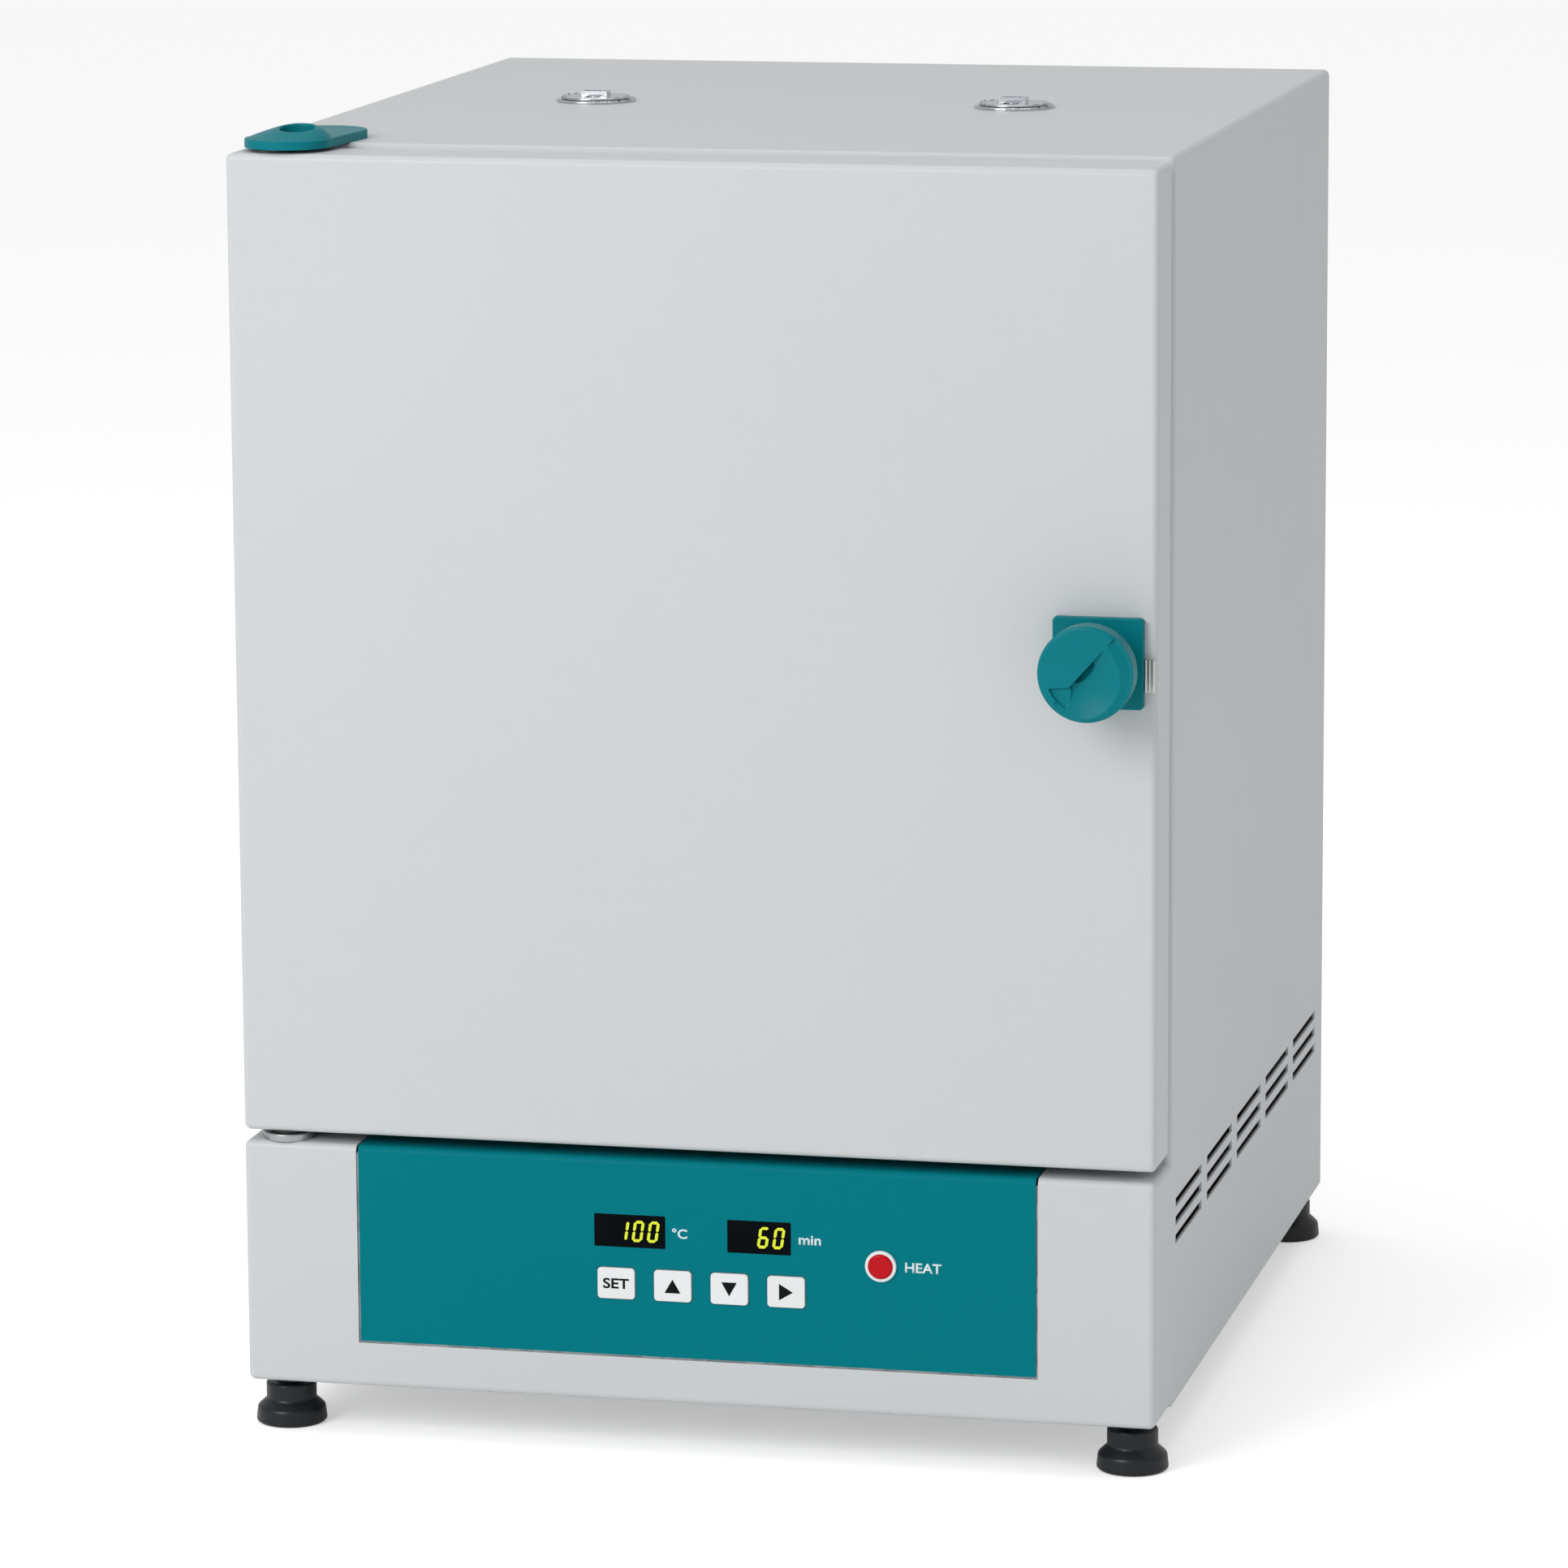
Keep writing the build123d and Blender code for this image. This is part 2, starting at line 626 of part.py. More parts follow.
def make_motor_mount():
    """Plate behind the insulation on four spacers that stand on the chamber's back."""
    plate = window(0, Z_FAN, MOUNT_SIZE, MOUNT_SIZE, 8, Y_MOUNT, Y_MOUNT + MOUNT_T)
    plate -= bar(0, Z_FAN, Y_MOUNT - OVERCUT, Y_MOUNT + MOUNT_T + OVERCUT, 14)
    front = Y_LINER_BACK + LINER_T
    return plate + [bar(x, z, front, Y_MOUNT, MOUNT_LEG_R) for x, z in mount_leg_places()]


def make_fan_motor():
    """Round motor with cooling ribs and a bearing boss."""
    y0 = Y_MOUNT + MOUNT_T
    y1 = y0 + MOTOR_L
    motor = bar(0, Z_FAN, y0, y1, MOTOR_R)
    motor = rounded_where(motor, 3, lambda c: c.Y > y1 - NEAR)
    for rib in range(1, 5):
        y = y0 + rib * MOTOR_L / 5
        groove = bar(0, Z_FAN, y - 1.5, y + 1.5, MOTOR_R + 1) - bar(0, Z_FAN, y - 2, y + 2, MOTOR_R - 4)
        motor -= groove
    motor += bar(0, Z_FAN, y0 - 1, y0, 12)
    return motor - bar(0, Z_FAN, y0 - 2, y0 + MOTOR_L / 2 + FIT, SHAFT_R + RUNNING)


def heater_ends():
    """Ends of the heater's ring, and the places where its legs go through the wall."""
    angle = radians(HEATER_LEG_ANGLE)
    ends = []
    for side in (-1, 1):
        x, z = side * HEATER_R * sin(angle), Z_FAN - HEATER_R * cos(angle)
        leg = (x - side * HEATER_BEND_R * cos(angle), z - HEATER_BEND_R * sin(angle))
        ends.append(((x, z), leg))
    return ends


def heater_leg_places():
    """Places where the heater's legs go through the chamber's back."""
    return [leg for _, leg in heater_ends()]


def make_heater():
    """Tubular ring heater around the fan, with legs and glands on the chamber's back."""
    y = Y_LINER_BACK - FAN_BACK - FAN_H / 2
    bend_y = y + HEATER_BEND_R
    wall = Y_LINER_BACK + LINER_T
    (left, left_leg), (right, right_leg) = [
        ((end[0], y, end[1]), (leg[0], bend_y, leg[1])) for end, leg in heater_ends()
    ]
    far = wall + HEATER_LEG_L
    pieces = [
        Line((left_leg[0], far, left_leg[2]), left_leg),
        Edge.make_tangent_arc(left_leg, (0, -1, 0), left),
        ThreePointArc(left, (0, y, Z_FAN + HEATER_R), right),
        Edge.make_tangent_arc(right, Vector(*right_leg) - Vector(right[0], bend_y, right[2]), right_leg),
        Line(right_leg, (right_leg[0], far, right_leg[2])),
    ]
    path = Wire([piece if isinstance(piece, Edge) else piece.edge() for piece in pieces])
    tube = sweep(Plane(origin=path @ 0, z_dir=path % 0) * Circle(HEATER_TUBE_R), path=path)
    return tube + [bar(x, z, wall, wall + 3, HEATER_TUBE_R + 4) for x, z in heater_leg_places()]


def make_temperature_probe():
    """Sensor rod through the chamber's right wall, with its gland."""
    y = Y_BAFFLE - 30
    z = Z_CHAMBER_TOP - 26
    rod = Pos(CHAMBER_HALF - 30, y, z) * Rot(0, 90, 0) * Cylinder(2.5, 60)
    gland = Pos(CHAMBER_HALF - 2.5, y, z) * Rot(0, 90, 0) * Cylinder(7, 5)
    return rod + gland


def make_exhaust_ducts():
    """Flanged tubes from the chamber's ceiling to the vents."""
    ducts = []
    z0 = Z_CHAMBER_TOP + LINER_T
    z1 = Z_ROOF - 4
    for x, _ in VENT_PLACES:
        duct = post(x, VENT_Y, z0, z1, DUCT_R) + post(x, VENT_Y, z0, z0 + DUCT_WALL, DUCT_FLANGE_R)
        ducts.append(duct - post(x, VENT_Y, z0 - OVERCUT, z1 + OVERCUT, DUCT_R - DUCT_WALL))
    return ducts


def vent_opening(x, z0, z1):
    """Two facing sectors that let the air out."""
    ring = post(x, VENT_Y, z0, z1, VENT_HOLE_OUTER) - post(x, VENT_Y, z0 - 1, z1 + 1, VENT_HOLE_INNER)
    near, far = VENT_Y - VENT_HOLE_HALF, VENT_Y + VENT_HOLE_HALF
    return ring & block(x - VENT_HOLE_OUTER, x + VENT_HOLE_OUTER, near, far, z0 - 1, z1 + 1)


def make_vent_collars():
    """Chrome plates on the roof, each with a skirt around its duct and a hub."""
    collars = []
    z1 = Z_ROOF + VENT_PLATE_T
    for x, _ in VENT_PLACES:
        collar = post(x, VENT_Y, Z_ROOF, z1, VENT_R)
        collar = rounded_where(collar, VENT_PLATE_T / 2, lambda c: c.Z > z1 - NEAR)
        skirt = post(x, VENT_Y, Z_ROOF - VENT_SKIRT_L, Z_ROOF, VENT_SKIRT_R)
        skirt -= post(x, VENT_Y, Z_ROOF - VENT_SKIRT_L - 1, Z_ROOF, DUCT_R + FIT)
        collar = collar + skirt
        collar -= vent_opening(x, Z_ROOF - OVERCUT, z1 + OVERCUT)
        collars.append(collar - post(x, VENT_Y, Z_ROOF - OVERCUT, z1 + OVERCUT, VENT_HUB_R + RUNNING))
    return collars


def make_damper(x):
    """Turning plate with a finger tab, which opens and shuts one vent."""
    z0 = Z_ROOF + VENT_PLATE_T + DAMPER_LIFT
    z1 = z0 + DAMPER_T
    damper = post(x, VENT_Y, z0, z1, DAMPER_R)
    damper = rounded_where(damper, DAMPER_T / 2, lambda c: c.Z > z1 - NEAR)
    damper -= Pos(x, VENT_Y, 0) * Rot(0, 0, 90) * Pos(-x, -VENT_Y, 0) * vent_opening(x, z0 - 1, z1 + 1)
    tab = block(x - TAB_W / 2, x + TAB_W / 2, VENT_Y - TAB_D / 2, VENT_Y + TAB_D / 2, z1 - NEAR, z1 + TAB_H)
    wall = 1.2
    low_x, high_x = x - TAB_W / 2 + wall, x + TAB_W / 2 - wall
    low_y, high_y = VENT_Y - TAB_D / 2 + wall, VENT_Y + TAB_D / 2 - wall
    tab -= block(low_x, high_x, low_y, high_y, z1 + wall / 2, z1 + TAB_H + 1)
    return damper + tab + post(x, VENT_Y, Z_ROOF - 1, z0, VENT_HUB_R)


def cap_lobes(shrink):
    """Centres and radii of the two rounded ends of the hinge cap."""
    front = (-HALF_W + CAP_FROM_SIDE + CAP_FRONT_R, Y_FRONT + CAP_FRONT_R + 0.5)
    back = (front[0] + CAP_BACK_SHIFT, Y_FRONT + CAP_LENGTH - CAP_BACK_R)
    return (front, CAP_FRONT_R - shrink), (back, CAP_BACK_R - shrink)


def cap_outline(shrink):
    """Rounded outline around both lobes."""
    (front, front_r), (back, back_r) = cap_lobes(shrink)
    circles = Pos(*front) * Circle(front_r) + Pos(*back) * Circle(back_r)
    return make_hull(circles.edges())


def make_hinge_cap():
    """Moulded cap over the upper hinge, with a hollow boss on top."""
    z1 = Z_ROOF + CAP_WALL_H
    cap = level(cap_outline(0), Z_ROOF, z1)
    cap = rounded_where(cap, 1.5, lambda c: c.Z > z1 - NEAR)
    (front, front_r), _ = cap_lobes(0)
    boss = (front[0] + CAP_BOSS_SHIFT, front[1])
    foot = Pos(*front, z1 - 1) * Circle(front_r - 2)
    crown = Pos(*boss, Z_ROOF + CAP_BOSS_H) * Circle(CAP_BOSS_R)
    hill = loft([foot, crown])
    hill = rounded_where(hill, 1.2, lambda c: c.Z > Z_ROOF + CAP_BOSS_H - NEAR)
    cap += hill
    cap -= post(*boss, Z_ROOF + CAP_BOSS_H - CAP_HOLE_DEPTH, Z_ROOF + CAP_BOSS_H + 1, CAP_HOLE_R)
    return cap - level(cap_outline(CAP_SKIN), Z_ROOF - OVERCUT, Z_ROOF + CAP_CAVITY_H)


def make_upper_hinge_plate():
    """Steel arm on the roof that reaches over the door."""
    plate = level(cap_outline(CAP_SKIN + FIT), Z_ROOF, Z_ROOF + HINGE_PLATE_T)
    plate -= post(PIN_X, PIN_Y, Z_ROOF - 1, Z_ROOF + HINGE_PLATE_T + 1, PIN_R + RUNNING)
    _, (back, _) = cap_lobes(0)
    for step in (-11, 9):
        plate -= post(back[0], back[1] + step, Z_ROOF - 1, Z_ROOF + HINGE_PLATE_T + 1, 2.6)
    return plate


def lower_plate_top():
    """Top of the lower hinge arm, just under the bush that rests on it."""
    return Z_DOOR - BUSH_FLANGE_T - FIT


def make_lower_hinge_plate():
    """Rounded arm that lies on the ledge under the door."""
    tip = Pos(PIN_X, PIN_Y) * Circle(LOWER_ARM_R)
    root = Pos(PIN_X + 4, Y_CABINET - 6) * Rectangle(LOWER_ARM_W, 10)
    arm = level(make_hull((tip + root).edges()), Z_LEDGE, lower_plate_top())
    arm = rounded_where(arm, 0.8, lambda c: c.Z > lower_plate_top() - NEAR)
    return arm - post(PIN_X, PIN_Y, Z_LEDGE - 1, Z_DOOR, PIN_R + RUNNING)


def make_hinge_pins():
    """Upper pin with its head on the arm, and lower pin."""
    top = Z_ROOF + HINGE_PLATE_T
    upper = post(PIN_X, PIN_Y, Z_DOOR_TOP - PIN_DEPTH, top, PIN_R)
    upper += post(PIN_X, PIN_Y, top, top + PIN_HEAD_T, PIN_HEAD_R)
    lower = post(PIN_X, PIN_Y, Z_LEDGE, Z_DOOR + PIN_DEPTH, PIN_R)
    return [rounded_where(upper, 1, lambda c: c.Z < Z_DOOR_TOP - PIN_DEPTH + NEAR),
            rounded_where(lower, 1, lambda c: c.Z > Z_DOOR + PIN_DEPTH - NEAR)]


def make_hinge_bushes():
    """Flanged bushes in the door's top and bottom."""
    bore_r = PIN_R + RUNNING
    upper = post(PIN_X, PIN_Y, Z_DOOR_TOP - PIN_DEPTH, Z_DOOR_TOP, BUSH_R)
    upper += post(PIN_X, PIN_Y, Z_DOOR_TOP, Z_DOOR_TOP + BUSH_FLANGE_T, BUSH_FLANGE_R)
    lower = post(PIN_X, PIN_Y, Z_DOOR, Z_DOOR + PIN_DEPTH, BUSH_R)
    lower += post(PIN_X, PIN_Y, Z_DOOR - BUSH_FLANGE_T, Z_DOOR, BUSH_FLANGE_R)
    bore = post(PIN_X, PIN_Y, Z_BASE, Z_ROOF + OVERCUT, bore_r)
    return [upper - bore, lower - bore]


def door_block(inset):
    """Door's rounded block, drawn in by inset."""
    x = HALF_W - inset
    body = block(-x, x, Y_FRONT + inset, Y_DOOR_BACK - inset, Z_DOOR + inset, Z_DOOR_TOP - inset)
    return fillet(body.edges(), EDGE_R - inset)


def make_door_shell():
    """Painted door skin with folded sides and a lip around its open back."""
    shell = door_block(0) - door_block(SHEET)
    x = HALF_W - DOOR_LIP
    back = (Y_DOOR_BACK - SHEET - OVERCUT, Y_DOOR_BACK + OVERCUT)
    shell -= block(-x, x, *back, Z_DOOR + DOOR_LIP, Z_DOOR_TOP - DOOR_LIP)
    shell -= post(PIN_X, PIN_Y, Z_DOOR - OVERCUT, Z_DOOR_TOP + OVERCUT, BUSH_R + RUNNING)
    return shell - bar(LATCH_X, LATCH_Z, Y_FRONT - OVERCUT, Y_FRONT + SHEET + OVERCUT, SPINDLE_R + OVERCUT)


def make_door_insulation():
    """Mineral wool inside the door."""
    inset = SHEET + BEND_R + FIT
    x = HALF_W - inset
    wool = block(-x, x, PANEL_BACK + FIT, Y_DOOR_BACK - SHEET - FIT, Z_DOOR + inset, Z_DOOR_TOP - inset)
    wool -= post(PIN_X, PIN_Y, Z_DOOR, Z_DOOR + PIN_DEPTH + FIT, BUSH_R + FIT)
    wool -= post(PIN_X, PIN_Y, Z_DOOR_TOP - PIN_DEPTH - FIT, Z_DOOR_TOP, BUSH_R + FIT)
    return wool - bar(LATCH_X, LATCH_Z, Y_FRONT, Y_DOOR_BACK, SPINDLE_R + 3)


def plug_size(shrink):
    """Width, height and corner of the raised field, made smaller by shrink all round."""
    margin = 2 * (PLUG_MARGIN + shrink)
    return CHAMBER_W - margin, CHAMBER_H - margin, PLUG_R - shrink


def make_door_inner_panel():
    """Stainless inner panel pressed out towards the chamber."""
    x = HALF_W - DOOR_LIP + 5
    y1 = Y_DOOR_BACK + PANEL_SHEET
    low, high = Z_DOOR + DOOR_LIP - 5, Z_DOOR_TOP - DOOR_LIP + 5
    panel = block(-x, x, Y_DOOR_BACK, y1, low, high)
    field = window(0, Z_FAN, *plug_size(0), y1 - NEAR, y1 + PLUG_DEPTH)
    panel += rounded_where(field, 4, lambda c: c.Y > y1 + PLUG_DEPTH - NEAR)
    hollow = window(0, Z_FAN, *plug_size(PANEL_SHEET), Y_DOOR_BACK - OVERCUT, y1 + PLUG_DEPTH - PANEL_SHEET)
    panel -= hollow
    return panel - bar(LATCH_X, LATCH_Z, Y_DOOR_BACK - OVERCUT, y1 + OVERCUT, SPINDLE_R + OVERCUT)


def make_door_gasket():
    """Silicone seal around the chamber's mouth, fixed to the door."""
    y0 = Y_DOOR_BACK + PANEL_SHEET
    y1 = Y_FRAME - FIT
    outer = chamber_mouth(GASKET_OFFSET + GASKET_W, y0, y1)
    outer = rounded_where(outer, 2, lambda c: c.Y > y1 - NEAR)
    return outer - chamber_mouth(GASKET_OFFSET, y0 - OVERCUT, y1 + OVERCUT)


def make_latch_plate():
    """Square base of the latch on the door's face."""
    y0 = Y_FRONT - LATCH_PLATE_T
    plate = window(LATCH_X, LATCH_Z, LATCH_PLATE, LATCH_PLATE, 2.5, y0, Y_FRONT)
    plate = rounded_where(plate, 1, lambda c: c.Y < y0 + NEAR)
    return plate - bar(LATCH_X, LATCH_Z, y0 - OVERCUT, Y_FRONT + OVERCUT, SPINDLE_R + RUNNING)


def make_latch_guide():
    """Ribbed chrome piece between the latch plate and the door's edge."""
    x0 = LATCH_X + LATCH_PLATE / 2
    z = LATCH_Z - GUIDE_DROP
    y0 = Y_FRONT - GUIDE_T
    guide = block(x0, x0 + GUIDE_W, y0 + 1.2, Y_FRONT, z - GUIDE_H / 2, z + GUIDE_H / 2)
    rib = GUIDE_W / 6
    for n in range(3):
        x = x0 + rib * (2 * n + 1)
        guide += post(x, y0 + 1.2, z - GUIDE_H / 2, z + GUIDE_H / 2, rib * 0.9)
    return guide


def knob_profile():
    """Half section of the knob: distance from the axis, and distance from the door's face."""
    back = LATCH_PLATE_T + FIT
    neck = LATCH_PLATE_T + KNOB_NECK_L
    points = [
        (0, back),
        (KNOB_NECK_R, back),
        (KNOB_NECK_R, neck),
        (KNOB_R - 1.2, neck),
        (KNOB_R, neck + 1.2),
        (KNOB_R, KNOB_PROUD - KNOB_BEVEL),
        (KNOB_FACE_R, KNOB_PROUD),
        (0, KNOB_PROUD),
    ]
    return make_face(Polyline(*points, close=True))


def make_latch_knob():
    """Twist grip: a round knob whose dished face steps along a slanted grip line."""
    turned = revolve(knob_profile(), Axis.Y)
    turned -= Pos(0, KNOB_PROUD + KNOB_R * 4 - KNOB_DISH, 0) * Sphere(KNOB_R * 4)
    face_y = KNOB_PROUD
    reach = KNOB_FACE_R - 2
    ramp = make_face(Polyline((0, face_y - GRIP_DEPTH), (reach, face_y + 1), (0, face_y + 1), close=True))
    scoop = Pos(0, 0, 0) * extrude(ramp, reach - 3, both=True)
    scoop &= bar(0, 0, 0, face_y + 2, reach)
    turned -= scoop
    pocket = Pos(-reach * 0.45, face_y, -reach * 0.62) * Rot(90, 0, 0) * Cylinder(5.5, 7)
    turned -= pocket
    turned = Rot(0, -GRIP_TILT, 0) * turned
    turned = Rot(0, 0, 180) * turned
    turned = Pos(LATCH_X, Y_FRONT, LATCH_Z) * turned
    socket = Y_FRONT - KNOB_PROUD + KNOB_BEVEL + GRIP_DEPTH + 3
    return turned - bar(LATCH_X, LATCH_Z, socket, Y_FRONT, SPINDLE_R + RUNNING)


def make_latch_cam():
    """Spindle through the door with the hook bar on its end."""
    front = Y_FRONT - KNOB_PROUD + KNOB_BEVEL + GRIP_DEPTH + 4
    cam_y = Y_LINER + STRIKE_T + CAM_CLEAR
    spindle = bar(LATCH_X, LATCH_Z, front, cam_y + CAM_T, SPINDLE_R)
    hook = window(LATCH_X, LATCH_Z, CAM_WIDTH, CAM_LENGTH, CAM_WIDTH / 2 - NEAR, cam_y, cam_y + CAM_T)
    spindle_thin = bar(LATCH_X, LATCH_Z, Y_DOOR_BACK + PANEL_SHEET, cam_y, CAM_WIDTH / 2)
    body = spindle & block(-HALF_W, HALF_W, front - 1, Y_DOOR_BACK + PANEL_SHEET, 0, Z_ROOF)
    return body + spindle_thin + hook


def make_panel_frame():
    """Inner frame behind the cut-out that the control panel rests on."""
    y0 = PANEL_BACK
    low = Z_BASE + PANEL_BOTTOM
    side = PANEL_HALF + PANEL_FRAME_W
    frame = block(-side, side, y0, y0 + SHEET, low - PANEL_FRAME_W, Z_LEDGE - SHEET - BEND_R - FIT)
    inner = PANEL_HALF - PANEL_REST
    return frame - block(-inner, inner, y0 - OVERCUT, y0 + SHEET + OVERCUT, low + PANEL_REST, Z_LEDGE)


def panel_envelope(inset):
    """Control panel as a block with a rounded upper front edge, drawn in by inset."""
    y0 = Y_FRONT + inset
    z1 = Z_LEDGE - inset
    x = PANEL_HALF + (OVERCUT if inset else 0)
    y1 = Y_FRONT + PANEL_TOP_D + (OVERCUT if inset else 0)
    z0 = Z_BASE + PANEL_BOTTOM - (OVERCUT if inset else 0)
    body = block(-x, x, y0, y1, z0, z1)
    return rounded_where(body, EDGE_R - inset, lambda c: c.Y < y0 + NEAR and c.Z > z1 - NEAR)


def key_place(index):
    """Middle of one key."""
    return KEY_FIRST_X + index * KEY_PITCH


def make_control_panel():
    """Coloured panel: front face and the part folded back under the door."""
    panel = panel_envelope(0) - panel_envelope(SHEET)
    depth = (Y_FRONT - OVERCUT, PANEL_BACK + OVERCUT)
    for x, width in ((TEMPERATURE_X, TEMPERATURE_W), (TIME_X, TIME_W)):
        panel -= window(x, Z_DISPLAY, width, DISPLAY_H, 0.8, *depth)
    for index in range(len(KEY_NAMES)):
        width, height = KEY_W + 2 * KEY_GAP, KEY_H + 2 * KEY_GAP
        panel -= window(key_place(index), Z_KEYS, width, height, KEY_R + KEY_GAP, *depth)
    return panel - bar(LAMP_X, Z_LAMP, *depth, LAMP_R - 1)


def make_display_window(x, width):
    """Dark window with a flange behind the panel."""
    pane = window(x, Z_DISPLAY, width - 0.2, DISPLAY_H - 0.2, 0.7, Y_FRONT + FIT, PANEL_BACK + NEAR)
    return pane + window(x, Z_DISPLAY, width + 5, DISPLAY_H + 5, 1.5, PANEL_BACK, PANEL_BACK + WINDOW_T)


def make_led_modules():
    """Seven-segment display blocks between the windows and the board."""
    modules = []
    for x, width in ((TEMPERATURE_X, TEMPERATURE_W), (TIME_X, TIME_W)):
        modules.append(window(x, Z_DISPLAY, width - 2, DISPLAY_H - 1, 0.5, PANEL_BACK + WINDOW_T, Y_BOARD))
    return modules


def make_display_board():
    """Circuit board on four posts behind the control panel."""
    low, high = Z_KEYS - 22, Z_DISPLAY + 20
    left, right = KEY_FIRST_X - 28, LAMP_X + 26
    board = block(left, right, Y_BOARD, Y_BOARD + BOARD_T, low, high)
    for x in (left + 5, right - 5):
        for z in (low + 5, high - 5):
            board += bar(x, z, PANEL_BACK, Y_BOARD + NEAR, 2.5)
    return board


def make_key_switches():
    """Push switches on the board, one behind each key."""
    switches = []
    for index in range(len(KEY_NAMES)):
        x = key_place(index)
        switches.append(block(x - 3, x + 3, Y_BOARD - 4, Y_BOARD, Z_KEYS - 3, Z_KEYS + 3))
    return switches


def make_key(index):
    """Key cap with a flange behind the panel and a stem towards its switch."""
    x = key_place(index)
    y0 = Y_FRONT - KEY_PROUD
    flange_y = PANEL_BACK + FIT
    cap = window(x, Z_KEYS, KEY_W, KEY_H, KEY_R, y0, flange_y + NEAR)
    cap = rounded_where(cap, 0.6, lambda c: c.Y < y0 + NEAR)
    width, height = KEY_W + 2 * KEY_FLANGE, KEY_H + 2 * KEY_FLANGE
    cap += window(x, Z_KEYS, width, height, KEY_R, flange_y, flange_y + 1)
    return cap + bar(x, Z_KEYS, flange_y, Y_BOARD - 4 - KEY_TRAVEL - FIT, 2.5)


def make_lamp_bezel():
    """Ring around the lamp, with a barrel through the panel and a nut behind it."""
    ring = bar(LAMP_X, Z_LAMP, Y_FRONT - 1.6, Y_FRONT, LAMP_R)
    ring = rounded_where(ring, 0.7, lambda c: c.Y < Y_FRONT - 1.6 + NEAR)
    ring += bar(LAMP_X, Z_LAMP, Y_FRONT, Y_FRONT + 7, LAMP_R - 1.1)
    nut = bar(LAMP_X, Z_LAMP, PANEL_BACK, PANEL_BACK + 3, LAMP_R + 1.5)
    return ring + nut - bar(LAMP_X, Z_LAMP, Y_FRONT - 3, Y_FRONT + 8, LENS_R + RUNNING)


def make_lamp_lens():
    """Red lens with a low dome."""
    y0 = Y_FRONT - 2.6
    lens = bar(LAMP_X, Z_LAMP, y0, Y_BOARD, LENS_R)
    return rounded_where(lens, 1.6, lambda c: c.Y < y0 + NEAR)


def make_controller_board():
    """Power board on posts on the base pan, with its larger parts."""
    z0 = Z_BASE + 2 * SHEET
    board_z = z0 + 8
    x0, y0 = 30.0, Y_CABINET + 60
    board = block(x0, x0 + 150, y0, y0 + 110, board_z, board_z + BOARD_T)
    for x in (x0 + 6, x0 + 144):
        for y in (y0 + 6, y0 + 104):
            board += post(x, y, z0, board_z + NEAR, 3)
    for n in range(4):
        board += post(x0 + 26 + n * 16, y0 + 26, board_z, board_z + 20, 5.5)
    board += block(x0 + 100, x0 + 138, y0 + 14, y0 + 34, board_z, board_z + 17)
    return board + block(x0 + 20, x0 + 128, y0 + 84, y0 + 96, board_z, board_z + 12)


def make_transformer():
    """Small mains transformer on the base pan."""
    z0 = Z_BASE + 2 * SHEET
    x0, y0 = 60.0, Y_CABINET + 210
    core = block(x0, x0 + 54, y0, y0 + 45, z0, z0 + 46)
    return core + block(x0 + 10, x0 + 44, y0 - 9, y0 + 54, z0 + 9, z0 + 37)


def make_solid_state_relay():
    """Relay for the heater on a finned heat sink."""
    z0 = Z_BASE + 2 * SHEET
    x0, y0 = 150.0, Y_CABINET + 210
    sink = block(x0, x0 + 62, y0, y0 + 60, z0, z0 + 4)
    for n in range(8):
        sink += block(x0 + n * 8, x0 + n * 8 + 2, y0, y0 + 60, z0, z0 + 24)
    return sink + block(x0 + 8, x0 + 52, y0 + 2, y0 + 58, z0 + 24 - NEAR, z0 + 46)


def make_power_inlet():
    """Three-pin mains inlet in the back."""
    y1 = Y_BACK + FLANGE_T
    inlet = window(INLET_X, Z_BACK_FITTINGS, INLET_W, INLET_H, 5, Y_BACK, y1)
    inlet += window(INLET_X, Z_BACK_FITTINGS, 28, 20.4, 1, Y_BACK - 24, Y_BACK + NEAR)
    inlet -= window(INLET_X, Z_BACK_FITTINGS, 24, 16.4, 3, Y_BACK - 16, y1 + OVERCUT)
    for x, z in ((-7, -2), (7, -2), (0, 2)):
        px, pz = INLET_X + x, Z_BACK_FITTINGS + z
        inlet += block(px - 1, px + 1, Y_BACK - 17, Y_BACK - 2, pz - 2, pz + 2)
    return inlet


def make_fuse_holder():
    """Round fuse holder with a slotted cap."""
    y1 = Y_BACK + 4
    holder = bar(FUSE_X, Z_BACK_FITTINGS, Y_BACK, y1, 8.5)
    holder = rounded_where(holder, 1, lambda c: c.Y > y1 - NEAR)
    holder += bar(FUSE_X, Z_BACK_FITTINGS, Y_BACK - 28, Y_BACK + NEAR, 6.5)
    slot = (FUSE_X - 5, FUSE_X + 5, y1 - 1.5, y1 + 1, Z_BACK_FITTINGS - 0.8, Z_BACK_FITTINGS + 0.8)
    return holder - block(*slot)


def lying(half, radius):
    """Round bar along the rocker's axis."""
    return Pos(SWITCH_X, Y_BACK - ROCKER_AXIS_D, Z_BACK_FITTINGS) * Rot(0, 90, 0) * Cylinder(radius, 2 * half)


def rocker_end():
    """Distance of the rocker's two ends from its axis, up and down."""
    return (ROCKER_PROUD - ROCKER_REST) / tan(radians(ROCKER_TILT))


